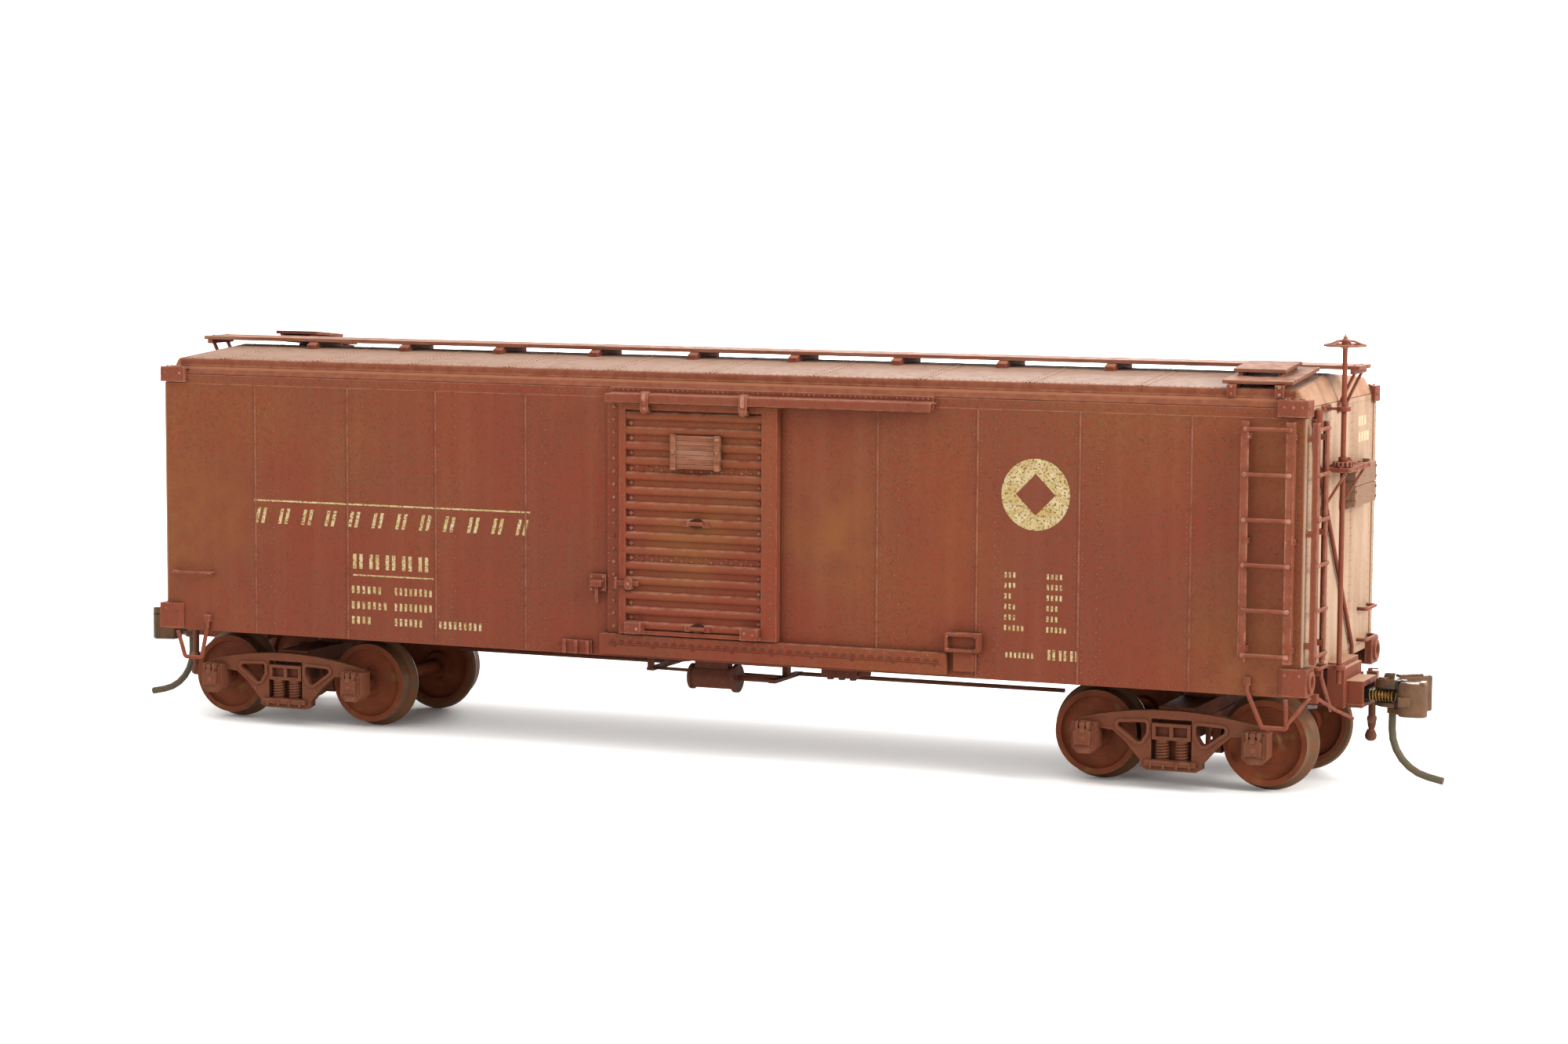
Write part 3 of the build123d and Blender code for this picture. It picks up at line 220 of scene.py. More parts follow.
    def piece(self, name, body, slot, material, bevel=0.0):
        """The finished Blender object, riding on its body."""
        mesh = bpy.data.meshes.new(name)
        mesh.from_pydata([p * MM for p in self.points], [], self.faces)
        work = bmesh.new()
        work.from_mesh(mesh)
        bmesh.ops.recalc_face_normals(work, faces=work.faces)
        work.to_mesh(mesh)
        work.free()
        mesh.shade_smooth()
        mesh.set_sharp_from_angle(angle=SHARP_ANGLE)
        made = bpy.data.objects.new(name, mesh)
        bpy.context.scene.collection.objects.link(made)
        made.data.materials.append(material)
        if bevel:
            soften(made, bevel)
        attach(made, body)
        return made


def soften(piece, width):
    """Rounds a piece's sharp edges."""
    bevel = piece.modifiers.new("edges", "BEVEL")
    bevel.width = width * MM
    bevel.segments = 2
    bevel.limit_method = "ANGLE"
    bevel.angle_limit = BEVEL_ANGLE
    bevel.harden_normals = True
    bevel.use_clamp_overlap = True


# ---------------------------------------------------------------- materials
def tint(code):
    """A hex colour as linear red, green and blue."""
    channels = [int(code[i:i + 2], 16) / 255 for i in (1, 3, 5)]
    linear = [c / 12.92 if c <= 0.04045 else ((c + 0.055) / 1.055) ** 2.4 for c in channels]
    return (*linear, 1.0)


class Recipe:
    """A node material built step by step in the object's own coordinates."""

    def __init__(self, name):
        self.material = bpy.data.materials.new(name)
        self.material.use_nodes = True
        self.tree = self.material.node_tree
        self.shader = self.tree.nodes["Principled BSDF"]
        where = self.node("ShaderNodeTexCoord")
        self.place = where.outputs["Object"]
        normal = self.node("ShaderNodeSeparateXYZ", Vector=where.outputs["Normal"])
        self.facing_up = normal.outputs[2]
        self.x, self.y, self.z = self.node("ShaderNodeSeparateXYZ", Vector=self.place).outputs

    def feed(self, socket, value):
        if isinstance(value, bpy.types.NodeSocket):
            self.tree.links.new(value, socket)
        else:
            socket.default_value = value

    def node(self, kind, settings=None, **inputs):
        made = self.tree.nodes.new(kind)
        for key, value in (settings or {}).items():
            setattr(made, key, value)
        for key, value in inputs.items():
            self.feed(made.inputs[key.replace("_", " ")], value)
        return made

    def noise(self, size, detail=2.0, stretch=(1, 1, 1), shift=0.0):
        """Noise with features about size millimetres across."""
        by = (shift, shift, 0)
        mapping = self.node("ShaderNodeMapping", Vector=self.place, Scale=stretch, Location=by)
        noise = self.node(
            "ShaderNodeTexNoise",
            Vector=mapping.outputs["Vector"],
            Scale=1 / (size * MM),
            Detail=detail,
        )
        return noise.outputs[0]

    def span(self, value, low, high, least=0.0, most=1.0):
        """A value's place between low and high, as a number from least to most."""
        ranged = self.node(
            "ShaderNodeMapRange",
            Value=value,
            From_Min=low,
            From_Max=high,
            To_Min=least,
            To_Max=most,
        )
        return ranged.outputs[0]

    def math(self, what, first, second):
        made = self.node("ShaderNodeMath", {"operation": what})
        self.feed(made.inputs[0], first)
        self.feed(made.inputs[1], second)
        return made.outputs[0]

    def mix(self, share, first, second):
        made = self.node("ShaderNodeMix", {"data_type": "RGBA"})
        self.feed(made.inputs[0], share)
        self.feed(made.inputs[6], first)
        self.feed(made.inputs[7], second)
        return made.outputs[2]

    def spot(self, centre, radius, most):
        """A soft patch round a point, in millimetres."""
        where = tuple(c * MM for c in centre)
        far = self.node("ShaderNodeVectorMath", {"operation": "DISTANCE"})
        self.feed(far.inputs[0], self.place)
        self.feed(far.inputs[1], where)
        near = self.span(far.outputs["Value"], radius * MM, 0.0, 0.0, most)
        return self.math("MULTIPLY", near, self.span(self.noise(4.0, 3.0), 0.3, 0.6))

    def hollow(self, reach, inside=False):
        """Near 0 in corners, or on outer edges if inside, and near 1 in the open."""
        settings = {"samples": 4, "inside": inside}
        shade = self.node("ShaderNodeAmbientOcclusion", settings, Distance=reach * MM)
        return shade.outputs["AO"]

    def bump(self, height, depth, under=None):
        made = self.node("ShaderNodeBump", Height=height, Distance=depth * MM, Strength=1.0)
        if under is not None:
            self.feed(made.inputs["Normal"], under)
        return made.outputs["Normal"]

    def finish(self, color, roughness, normal, metallic=0.0, specular=0.07):
        self.feed(self.shader.inputs["Base Color"], color)
        self.feed(self.shader.inputs["Roughness"], roughness)
        self.feed(self.shader.inputs["Normal"], normal)
        self.shader.inputs["Metallic"].default_value = metallic
        self.shader.inputs["Specular IOR Level"].default_value = specular
        return self.material


RUST_RED = tint("#6b3020")
BODY = tint("#623425")
OCHRE = tint("#714625")
SHADOW = tint("#2c1712")
# The dusting colour, also used as a painted highlight on upward faces.
DUST_AND_HIGHLIGHT = tint("#9d735e")
OLIVE = tint("#533929")
PALE = tint("#40281d")


def paint_color(r, base, warm, red, dust_and_highlight, spots=(), top_dust_and_highlight=0.55, patchy=(0.25, 0.6), worn=0.3):
    """Weathered paint: patches, specks, rain streaks, stains, painted shade in corners, and a dusting with
    a painted highlight on upward faces.
    """
    color = r.mix(r.span(r.noise(17.0, 2.0), 0.36, 0.66), base, red)
    color = r.mix(r.span(r.noise(23.0, 2.0, shift=0.3), 0.48, 0.72, 0.0, 0.5), color, warm)
    color = r.mix(r.span(r.noise(0.55, 3.0), 0.42, 0.6, 0.0, 0.5), color, red)
    color = r.mix(r.span(r.noise(0.4, 3.0, shift=0.1), 0.48, 0.66, 0.0, 0.5), color, OLIVE)
    color = r.mix(r.span(r.noise(0.27, 2.0, shift=0.6), 0.6, 0.68, 0.0, 0.4), color, PALE)
    color = r.mix(r.span(r.noise(1.6, 3.0, (1, 1, 0.05)), 0.5, 0.8, 0.0, 0.05), color, dust_and_highlight)
    for centre, radius, most in spots:
        color = r.mix(r.spot(centre, radius, most), color, warm)
    # Painted shade: darker in corners and creases.
    color = r.mix(r.span(r.hollow(0.8), 0.3, 0.85, 0.55, 0.0), color, SHADOW)
    rubbed = r.span(r.hollow(0.22, True), 0.35, 0.9, worn, 0.0)
    color = r.mix(r.math("MULTIPLY", rubbed, r.span(r.noise(1.1), 0.35, 0.6)), color, dust_and_highlight)
    # Upward faces paler: a dusting and a painted highlight of the light from above.
    level = r.span(r.facing_up, 0.35, 0.95, 0.0, top_dust_and_highlight)
    top_dust_and_highlight_mask = r.math("MULTIPLY", level, r.span(r.noise(1.3, 3.0), *patchy))
    return r.mix(top_dust_and_highlight_mask, color, dust_and_highlight)


def paint(
    name, base=BODY, warm=OCHRE, red=RUST_RED, dust_and_highlight=DUST_AND_HIGHLIGHT, roughness=0.6, spots=(), grain=0.02,
    top_dust_and_highlight=0.55, patchy=(0.25, 0.6), worn=0.3,
):
    """Weathered paint with a fine grain, on a faintly wavy surface."""
    r = Recipe(name)
    color = paint_color(r, base, warm, red, dust_and_highlight, spots, top_dust_and_highlight, patchy, worn)
    gloss = r.span(r.noise(0.7, 3.0), 0.3, 0.7, roughness - 0.08, roughness + 0.12)
    waves = r.bump(r.noise(9.0, 1.0), 0.03)
    return r.finish(color, gloss, r.bump(r.noise(0.16, 2.0), grain, waves))


def roof_coat(name):
    """Roof paint under a dusting and a painted highlight, a painted highlight along the ledge below the
    eaves, and paler end slopes, again a dusting and a painted highlight.
    """
    r = Recipe(name)
    base, warm, red = tint("#643828"), tint("#6b4630"), tint("#633023")
    # Upward faces paler: a dusting and a painted highlight from above.
    color = paint_color(r, base, warm, red, tint("#957a68"), top_dust_and_highlight=0.72, patchy=(-0.2, 0.5))
    across = r.math("ABSOLUTE", r.y, 0.0)
    outer = r.span(across, 8.0 * MM, 14.3 * MM, 0.0, 0.6)
    faded = r.mix(r.span(r.noise(1.6, 3.0), 0.35, 0.65), warm, tint("#8a6654"))
    color = r.mix(outer, color, faded)
    fascia = r.span(across, 14.15 * MM, 14.35 * MM, 0.0, 0.85)
    rusty = r.mix(r.span(r.noise(1.1, 3.0), 0.35, 0.65), tint("#63301f"), tint("#6f3d29"))
    color = r.mix(fascia, color, rusty)
    # Painted highlight along the ledge below the eaves.
    low = r.span(r.z, 43.5 * MM, 43.35 * MM)
    lit = r.math("MULTIPLY", low, r.span(across, 14.85 * MM, 14.65 * MM, 0.0, 0.6))
    color = r.mix(lit, color, tint("#8a5b40"))
    # End slopes paler: a dusting and a painted highlight, as on the ends.
    sloped = r.span(r.math("ABSOLUTE", r.x, 0.0), 69.0 * MM, 69.3 * MM, 0.0, 0.85)
    pale = r.mix(r.span(r.noise(5.0, 3.0), 0.4, 0.6), tint("#8a6148"), tint("#9c7a60"))
    color = r.mix(sloped, color, pale)
    gloss = r.span(r.noise(0.7, 3.0), 0.3, 0.7, 0.56, 0.74)
    return r.finish(color, gloss, r.bump(r.noise(0.16, 2.0), 0.02, r.bump(r.noise(6.0, 1.0), 0.03)))


def end_coat(name):
    """The ends' pale dusting over red with a painted highlight of strong light, in broad patches, with
    painted shade in corners and under fittings.
    """
    r = Recipe(name)
    # Pale base: a dusting over red and a painted highlight of the strong light on the ends.
    color = r.mix(r.span(r.noise(9.0, 3.0), 0.35, 0.68), tint("#8f7662"), tint("#836751"))
    streaks = r.span(r.noise(2.4, 4.0, (1, 1, 0.15)), 0.45, 0.75, 0.0, 0.45)
    color = r.mix(streaks, color, tint("#ae937c"))
    color = r.mix(r.span(r.noise(0.5, 3.0), 0.55, 0.7, 0.0, 0.25), color, tint("#7c5740"))
    # Painted shade in corners and under fittings.
    color = r.mix(r.span(r.hollow(2.2), 0.25, 0.8, 0.5, 0.0), color, tint("#744a33"))
    gloss = r.span(r.noise(0.7, 3.0), 0.3, 0.7, 0.56, 0.74)
    return r.finish(color, gloss, r.bump(r.noise(0.16, 2.0), 0.014))


def board_paint(name, base, red, light):
    """Painted boards whose grain runs along the car."""
    r = Recipe(name)
    grain = r.noise(0.3, 4.0, (0.035, 1, 1))
    color = paint_color(r, base, OCHRE, red, DUST_AND_HIGHLIGHT, top_dust_and_highlight=0.85)
    color = r.mix(r.span(grain, 0.42, 0.62, 0.0, 0.3), color, light)
    cracks = r.span(r.noise(0.22, 3.0, (0.03, 1, 1), 0.2), 0.55, 0.68, 0.0, 0.6)
    color = r.mix(cracks, color, SHADOW)
    gloss = r.span(grain, 0.3, 0.7, 0.6, 0.78)
    return r.finish(color, gloss, r.bump(grain, 0.05, r.bump(r.noise(0.16), 0.012)))


def decal(name, bright, dull, below):
    """Stencilled marks, worn through in specks to the paint below."""
    r = Recipe(name)
    color = r.mix(r.span(r.noise(0.9, 2.0), 0.35, 0.65), bright, dull)
    worn = r.span(r.noise(0.26, 3.0), 0.53, 0.6, 0.0, 0.85)
    color = r.mix(worn, color, below)
    return r.finish(color, r.span(worn, 0.0, 1.0, 0.55, 0.66), r.bump(r.noise(0.16), 0.012))


def wheel_metal(name, x):
    """A turned wheel: painted face, worn tread and flange. Rings follow the axle at x."""
    r = Recipe(name)
    dx = r.math("SUBTRACT", r.x, x * MM)
    dz = r.math("SUBTRACT", r.z, AXLE_HEIGHT * MM)
    radius = r.math("SQRT", r.math("ADD", r.math("POWER", dx, 2.0), r.math("POWER", dz, 2.0)), 0.0)
    line = {"noise_dimensions": "1D"}
    rings = r.node("ShaderNodeTexNoise", line, W=radius, Scale=5200.0, Detail=3.0)
    face = r.mix(r.span(r.noise(2.4, 3.0), 0.35, 0.68), tint("#542918"), tint("#63301c"))
    face = r.mix(r.span(r.noise(2.6, 5.0, shift=0.4), 0.62, 0.74, 0.0, 0.4), face, tint("#6f5a36"))
    face = r.mix(r.span(rings.outputs[0], 0.45, 0.7, 0.0, 0.25), face, tint("#6d3d20"))
    # Painted shade in the wheel's corners.
    face = r.mix(r.span(r.hollow(0.8), 0.3, 0.9, 0.7, 0.0), face, SHADOW)
    tread = r.mix(r.span(r.noise(0.8, 3.0), 0.35, 0.65), tint("#50402f"), tint("#5f3a26"))
    outer = r.span(radius, 4.62 * MM, 4.76 * MM)
    gloss = r.span(outer, 0.0, 1.0, 0.55, 0.36)
    normal = r.bump(rings.outputs[0], 0.02, r.bump(r.noise(0.18), 0.01))
    return r.finish(r.mix(outer, face, tread), gloss, normal)


def cast_metal(name, color, patch, gleam=0.12):
    """Cast metal, brushed thinly with brown paint."""
    r = Recipe(name)
    shade = r.mix(r.span(r.noise(1.3, 4.0), 0.4, 0.6), color, patch)
    shade = r.mix(r.span(r.noise(0.35, 3.0), 0.55, 0.7, 0.0, 0.3), shade, tint("#3c372a"))
    # Painted shade in corners.
    shade = r.mix(r.span(r.hollow(0.6), 0.3, 0.9, 0.75, 0.0), shade, tint("#1b1511"))
    rubbed = r.span(r.hollow(0.25, True), 0.4, 0.9, 0.35, 0.0)
    rubbed = r.math("MULTIPLY", rubbed, r.span(r.noise(0.8), 0.4, 0.6))
    shade = r.mix(rubbed, shade, tint("#765743"))
    gloss = r.span(r.noise(0.5), 0.3, 0.7, 0.38, 0.58)
    return r.finish(shade, gloss, r.bump(r.noise(0.22, 3.0), 0.02), 0.0, gleam)


def bare_metal(name, color, other, roughness):
    """Unpainted metal in two tones, with painted shade in its corners."""
    r = Recipe(name)
    shade = r.mix(r.span(r.noise(0.6, 3.0), 0.35, 0.65), color, other)
    # Painted shade in corners.
    shade = r.mix(r.span(r.hollow(0.25), 0.3, 0.9, 0.6, 0.0), shade, tint("#2a1c10"))
    gloss = r.span(r.noise(0.4), 0.3, 0.7, roughness - 0.08, roughness + 0.1)
    return r.finish(shade, gloss, r.bump(r.noise(0.1), 0.008), 0.9)


SIDE_STAINS = (
    ((-70.5, WALL, 24.0), 11.0, 0.8),
    ((-60.0, WALL, 26.0), 8.0, 0.5),
    ((17.0, WALL, 27.0), 9.0, 0.75),
    ((33.0, WALL, 24.0), 8.0, 0.4),
    ((62.0, WALL, 14.0), 9.0, 0.4),
)
DOOR_STAINS = (
    ((1.0, DOOR_LOW.y, 26.0), 5.0, 0.9),
    ((-2.0, DOOR_LOW.y, 22.6), 6.0, 0.7),
    ((6.0, DOOR_LOW.y, 29.0), 5.0, 0.5),
)
body = paint("body_paint", spots=SIDE_STAINS, worn=0.18)
end_paint = end_coat("end_paint")
door = paint("door_paint", tint("#683123"), OCHRE, tint("#6f311f"), spots=DOOR_STAINS)
# Dark plates that paint the shade inside the door handles' pockets.
pocket_shade = paint("painted_pocket_shade", SHADOW, SHADOW, tint("#341610"), tint("#4a2a1f"), top_dust_and_highlight=0.1)
detail = paint(
    "detail_paint", tint("#663426"), tint("#6d3f2a"), tint("#6b3022"), tint("#976955"),
    grain=0.026, worn=0.75,
)
# Pale draft gear tops: a dusting and a painted highlight.
draft_paint = paint(
    "draft_gear_paint", tint("#663426"), tint("#6d3f2a"), tint("#6b3022"), tint("#a37c60"),
    top_dust_and_highlight=1.0, patchy=(-0.2, 0.35),
)
slots = paint(
    "slot_paint", tint("#53241a"), tint("#5c2e1e"), tint("#572318"), tint("#6f4231"),
    top_dust_and_highlight=0.1, worn=0.0,
)
roof_paint = roof_coat("roof_paint")
truck = paint(
    "truck_paint", tint("#5c3524"), tint("#633d28"), tint("#5f3223"), tint("#7d563e"), top_dust_and_highlight=0.4,
)
under = paint(
    "underframe_paint", tint("#4c2a20"), tint("#553322"), tint("#50281d"), tint("#7a5843"),
)
boards = board_paint("board_paint", tint("#6a3e2f"), tint("#6d392a"), tint("#957462"))
# Tack boards pale tan: weathered wood and a painted highlight of the end's strong light.
tack_paint = board_paint("tack_paint", tint("#775c48"), tint("#70523d"), tint("#8a7362"))
marks = decal("mark_paint", tint("#a69874"), tint("#948153"), BODY)
end_marks = decal("end_mark_paint", tint("#b3a283"), tint("#a89272"), tint("#9c7a60"))
hose = paint("hose_paint", tint("#5b3626"), tint("#624030"), tint("#5f3829"), roughness=0.55)
coupler = cast_metal("coupler_metal", tint("#573c29"), tint("#433427"))
coupler_core = cast_metal("coupler_black", tint("#14120f"), tint("#221c16"))
knuckle = cast_metal("knuckle_metal", tint("#60432f"), tint("#533c2b"))
trip_metal = cast_metal("trip_pin_metal", tint("#494636"), tint("#534434"))
brass = bare_metal("spring_brass", tint("#8f6a34"), tint("#6d4d24"), 0.34)
steel = bare_metal("plain_steel", tint("#6e6c69"), tint("#555250"), 0.4)

NODE_PAINT = {
    body: ("side_near", "side_far", "door_rails", "door_posts", "door_stops"),
    end_paint: ("end_a", "end_b"),
    detail: (
        "door_tracks", "corner_castings", "latch_keepers", "side_ladders", "end_ladders",
        "sill_steps", "brake_step", "staff_brackets", "brake_wheel", "brake_staff", "grab_irons",
        "uncoupling_levers", "retainer_valve", "running_board_supports",
    ),
    door: ("door_near", "door_far"),
    roof_paint: ("roof",),
    boards: ("running_board", "lateral_boards"),
    tack_paint: ("tack_boards",),
    draft_paint: ("draft_gear_boxes", "draft_gear_lids"),
    truck: tuple(
        f"truck_{t}_{part}" for t in "ab" for part in ("side_frames", "bolster", "brake_beams")
    ),
    under: (
        "floor", "centre_sill", "crossmembers", "brake_cylinder", "air_reservoir",
        "control_valve", "brake_rigging", "train_pipe",
    ),
    steel: ("ballast_weights", "mounting_screws"),
}
FINE_NODES = (
    "brake_wheel", "brake_staff", "grab_irons", "uncoupling_levers", "retainer_valve",
    "train_pipe",
)


def dress(node, material, width):
    """Gives a CAD node its material and eases its sharp edges."""
    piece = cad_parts[node]
    piece.data.materials.clear()
    piece.data.materials.append(material)
    weld = piece.modifiers.new("weld", "WELD")
    weld.merge_threshold = 0.001 * MM
    if width:
        soften(piece, width)


ROUNDED = {
    "corner_castings": 0.3, "roof": 0.3, "door_tracks": 0.3, "running_board_supports": 0.16,
    "draft_gear_boxes": 0.15, "draft_gear_lids": 0.15,
}
for material, nodes in NODE_PAINT.items():
    for node in nodes:
        dress(node, material, 0.0 if node in FINE_NODES else ROUNDED.get(node, 0.1))
for wheelset in ("a1", "a2", "b1", "b2"):
    low, high = extent(f"wheelset_{wheelset}")
    dress(f"wheelset_{wheelset}", wheel_metal(f"wheel_metal_{wheelset}", (low.x + high.x) / 2), 0.0)


# ---------------------------------------------------------------- sides
def side_details():
    """Sheet seams with their rivets, on the near side, and the same on the far side."""
    seams, rivets = Shape(), Shape()
    low, high = SIDE_LOW.z + 0.7, EAVE - 1.3
    for x in [way * seam for seam in SEAMS for way in (-1, 1)]:
        seams.ridge((x, WALL, SIDE_LOW.z + 0.1), (x, WALL, high + 0.3), OUT, 0.24, 0.1)
        for step in (-0.42, 0.42):
            rivets.row((x + step, WALL, low), (x + step, WALL, high), 0.66, OUT, 0.11, 0.09)
        for step, drop in ((2.1, 0.0), (2.55, 0.65)):
            top = high + drop - 0.65
            rivets.row((x + step, WALL, low + drop), (x + step, WALL, top), 1.3, OUT, 0.12, 0.09)
    for x in (-HALF_LENGTH + 0.5, HALF_LENGTH - 0.5, -11.75, 11.3):
        rivets.row((x, WALL, low), (x, WALL, high), 0.66, OUT, 0.09, 0.055)
    reach = HALF_LENGTH - 0.1
    seams.ridge((-reach, WALL, high + 0.2), (reach, WALL, high + 0.2), OUT, 0.16, 0.05)
    reach = HALF_LENGTH - 1
    for z, radius, height in ((EAVE - 0.45, 0.1, 0.06), (low - 0.25, 0.09, 0.055)):
        rivets.row((-reach, WALL, z), (reach, WALL, z), 0.8, OUT, radius, height)
    seams.piece("side_seams_near", "carbody", "body_paint", body)
    seams.half_turned().piece("side_seams_far", "carbody", "body_paint", body)
    rivets.piece("side_rivets_near", "carbody", "body_paint", body)
    rivets.half_turned().piece("side_rivets_far", "carbody", "body_paint", body)


def side_marks():
    """Plain stencilled marks: a rule over ticks, rows of ticks, and a disc with an open middle."""
    paint_marks = Shape()

    def bar(x, z, width, height, lean=0.0):
        outline = [(0, 0), (width, 0), (width + lean, height), (lean, height)]
        paint_marks.prism(outline, (x, WALL + SUNK, z), X, Z, OUT * (PAINTED + SUNK))

    def ticks(x, z, count, pitch, width, height, lean=0.0):
        for number in range(count):
            bar(x + number * pitch, z, width, height, lean)

    bar(-58.3, 27.48, 37.0, 0.2)
    for step in (0.0, 0.85):
        ticks(-58.2 + step, 24.85, 12, 3.18, 0.42, 1.85, 0.45)
        ticks(-44.8 + step, 19.95, 5, 2.2, 0.45, 1.75)
    bar(-44.8, 19.1, 10.8, 0.17)
    for z, first, second in ((17.0, 6, 8), (15.15, 7, 8), (13.35, 4, 6)):
        ticks(-45.0, z, first, 0.72, 0.36, 0.9)
        ticks(-39.2, z, second, 0.66, 0.32, 0.9)
    ticks(-33.3, 13.35, 9, 0.66, 0.32, 0.9)
    for number, (first, last) in enumerate(((3, 4), (3, 4), (2, 4), (3, 3), (3, 3), (5, 5))):
        z = 22.85 - number * 1.17
        ticks(37.0, z, first, 0.5, 0.25, 0.6)
        ticks(41.9, z, last, 0.5, 0.25, 0.6)
    ticks(37.2, 14.0, 7, 0.5, 0.25, 0.6)
    for step in (0.0, 0.55):
        ticks(42.1 + step, 13.95, 3, 1.3, 0.3, 1.15)
    centre, sides = Vector((40.49, WALL + SUNK, 32.1)), 64
    for k in range(sides):
        corners = []
        for i, inner in ((k, False), (k + 1, False), (k + 1, True), (k, True)):
            a = 2 * math.pi * i / sides
            reach = 2.3 / (abs(math.cos(a)) + abs(math.sin(a))) if inner else 3.95
            corners.append((reach * math.cos(a), reach * math.sin(a)))
        paint_marks.prism(corners, centre, X, Z, OUT * (PAINTED + SUNK))
    paint_marks.piece("side_marks_near", "carbody", "body_paint", marks)
    paint_marks.half_turned().piece("side_marks_far", "carbody", "body_paint", marks)


# ---------------------------------------------------------------- ends
def end_details():
    """Plate seams, rivets, corner angles and marks on both ends."""
    seams, rivets = Shape(), Shape()
    face = HALF_LENGTH
    for y in (-5.0, 5.0):
        seams.ridge((face, y, 13.6), (face, y, EAVE - 0.4), END, 0.2, 0.06)
        for step in (-0.5, 0.5):
            rivets.row((face, y + step, 14.2), (face, y + step, EAVE - 0.8), 0.9, END, 0.1, 0.07)
    for y in (-13.6, 13.6):
        rivets.row((face, y, 15.0), (face, y, 41.0), 0.9, END, 0.1, 0.07)
    for z in (EAVE - 0.55, 14.3):
        rivets.row((face, -13.0, z), (face, 13.0, z), 0.9, END, 0.1, 0.07)
    angles = Shape()
    for way in (-1, 1):
        low, high = sorted((way * 15.55, way * 14.5))
        angles.box((face - 0.05, low, 14.7), (face + 0.16, high, 41.4))
        for y, bottom, top in ((way * 14.85, 15.4, 40.8), (way * 15.2, 16.1, 40.2)):
            rivets.row((face + 0.16, y, bottom), (face + 0.16, y, top), 1.5, END, 0.11, 0.08)
    blocks = Shape()
    outline = [(0, 0), (0.9, 0), (0.9, 1.1), (0, 1.1)]
    for first, z, count in ((7.9, 39.1, 3), (8.0, 37.3, 4)):
        for number in range(count):
            start = (face - SUNK, first + number * 1.25, z)
            blocks.prism(outline, start, Y, Z, END * (PAINTED + SUNK))
    seams.both().piece("end_seams", "carbody", "body_paint", end_paint)
    rivets.both().piece("end_rivets", "carbody", "body_paint", end_paint)
    angles.both().piece("end_corner_angles", "carbody", "body_paint", end_paint, 0.05)
    blocks.both().piece("end_marks", "carbody", "body_paint", end_marks)


# ---------------------------------------------------------------- roof
def roof_height(y):
    """The roof's height at a distance y from its ridge."""
    return RIDGE - (RIDGE - FASCIA_TOP) * abs(y) / ROOF_HALF_WIDTH


def roof_details():
    """Sheet seams across the roof, with rivets along them, along the eaves and down the ends."""
    seams, rivets = Shape(), Shape()
    fall = Vector((0, -ROOF_HALF_WIDTH, FASCIA_TOP - RIDGE)).normalized()
    up = X.cross(fall)
    up = up if up.z > 0 else -up
    for number in range(11):
        x = (number - 5) * SHEET_PITCH + 0.9
        ends = [(x, -y, roof_height(y)) for y in (2.0, ROOF_HALF_WIDTH - 0.15)]
        seams.ridge(*ends, up, 0.3, 0.07)
        for step in (-0.5, 0.5):
            rivets.row(*[Vector(e) + X * step for e in ends], 0.85, up, 0.1, 0.07)
    edge = ROOF_HALF_WIDTH - 0.45
    z = roof_height(edge)
    rivets.row((-68.4, -edge, z), (68.4, -edge, z), 0.75, up, 0.1, 0.07)
    rim = -ROOF_HALF_WIDTH
    rivets.row((-68.6, rim, 43.85), (68.6, rim, 43.85), 0.75, OUT, 0.11, 0.08)
    bead = Shape()
    bead.rod((-68.95, rim + 0.02, 43.42), (68.95, rim + 0.02, 43.42), 0.13, 8)
    for x in (-68.6, 68.6):
        rivets.row((x, -2.0, roof_height(2.0)), (x, -edge, roof_height(edge)), 0.85, up, 0.1, 0.07)
    seams.both().piece("roof_seams", "carbody", "body_paint", roof_paint)
    rivets.both().piece("roof_rivets", "carbody", "body_paint", roof_paint)
    bead.both().piece("eave_beads", "carbody", "body_paint", body)


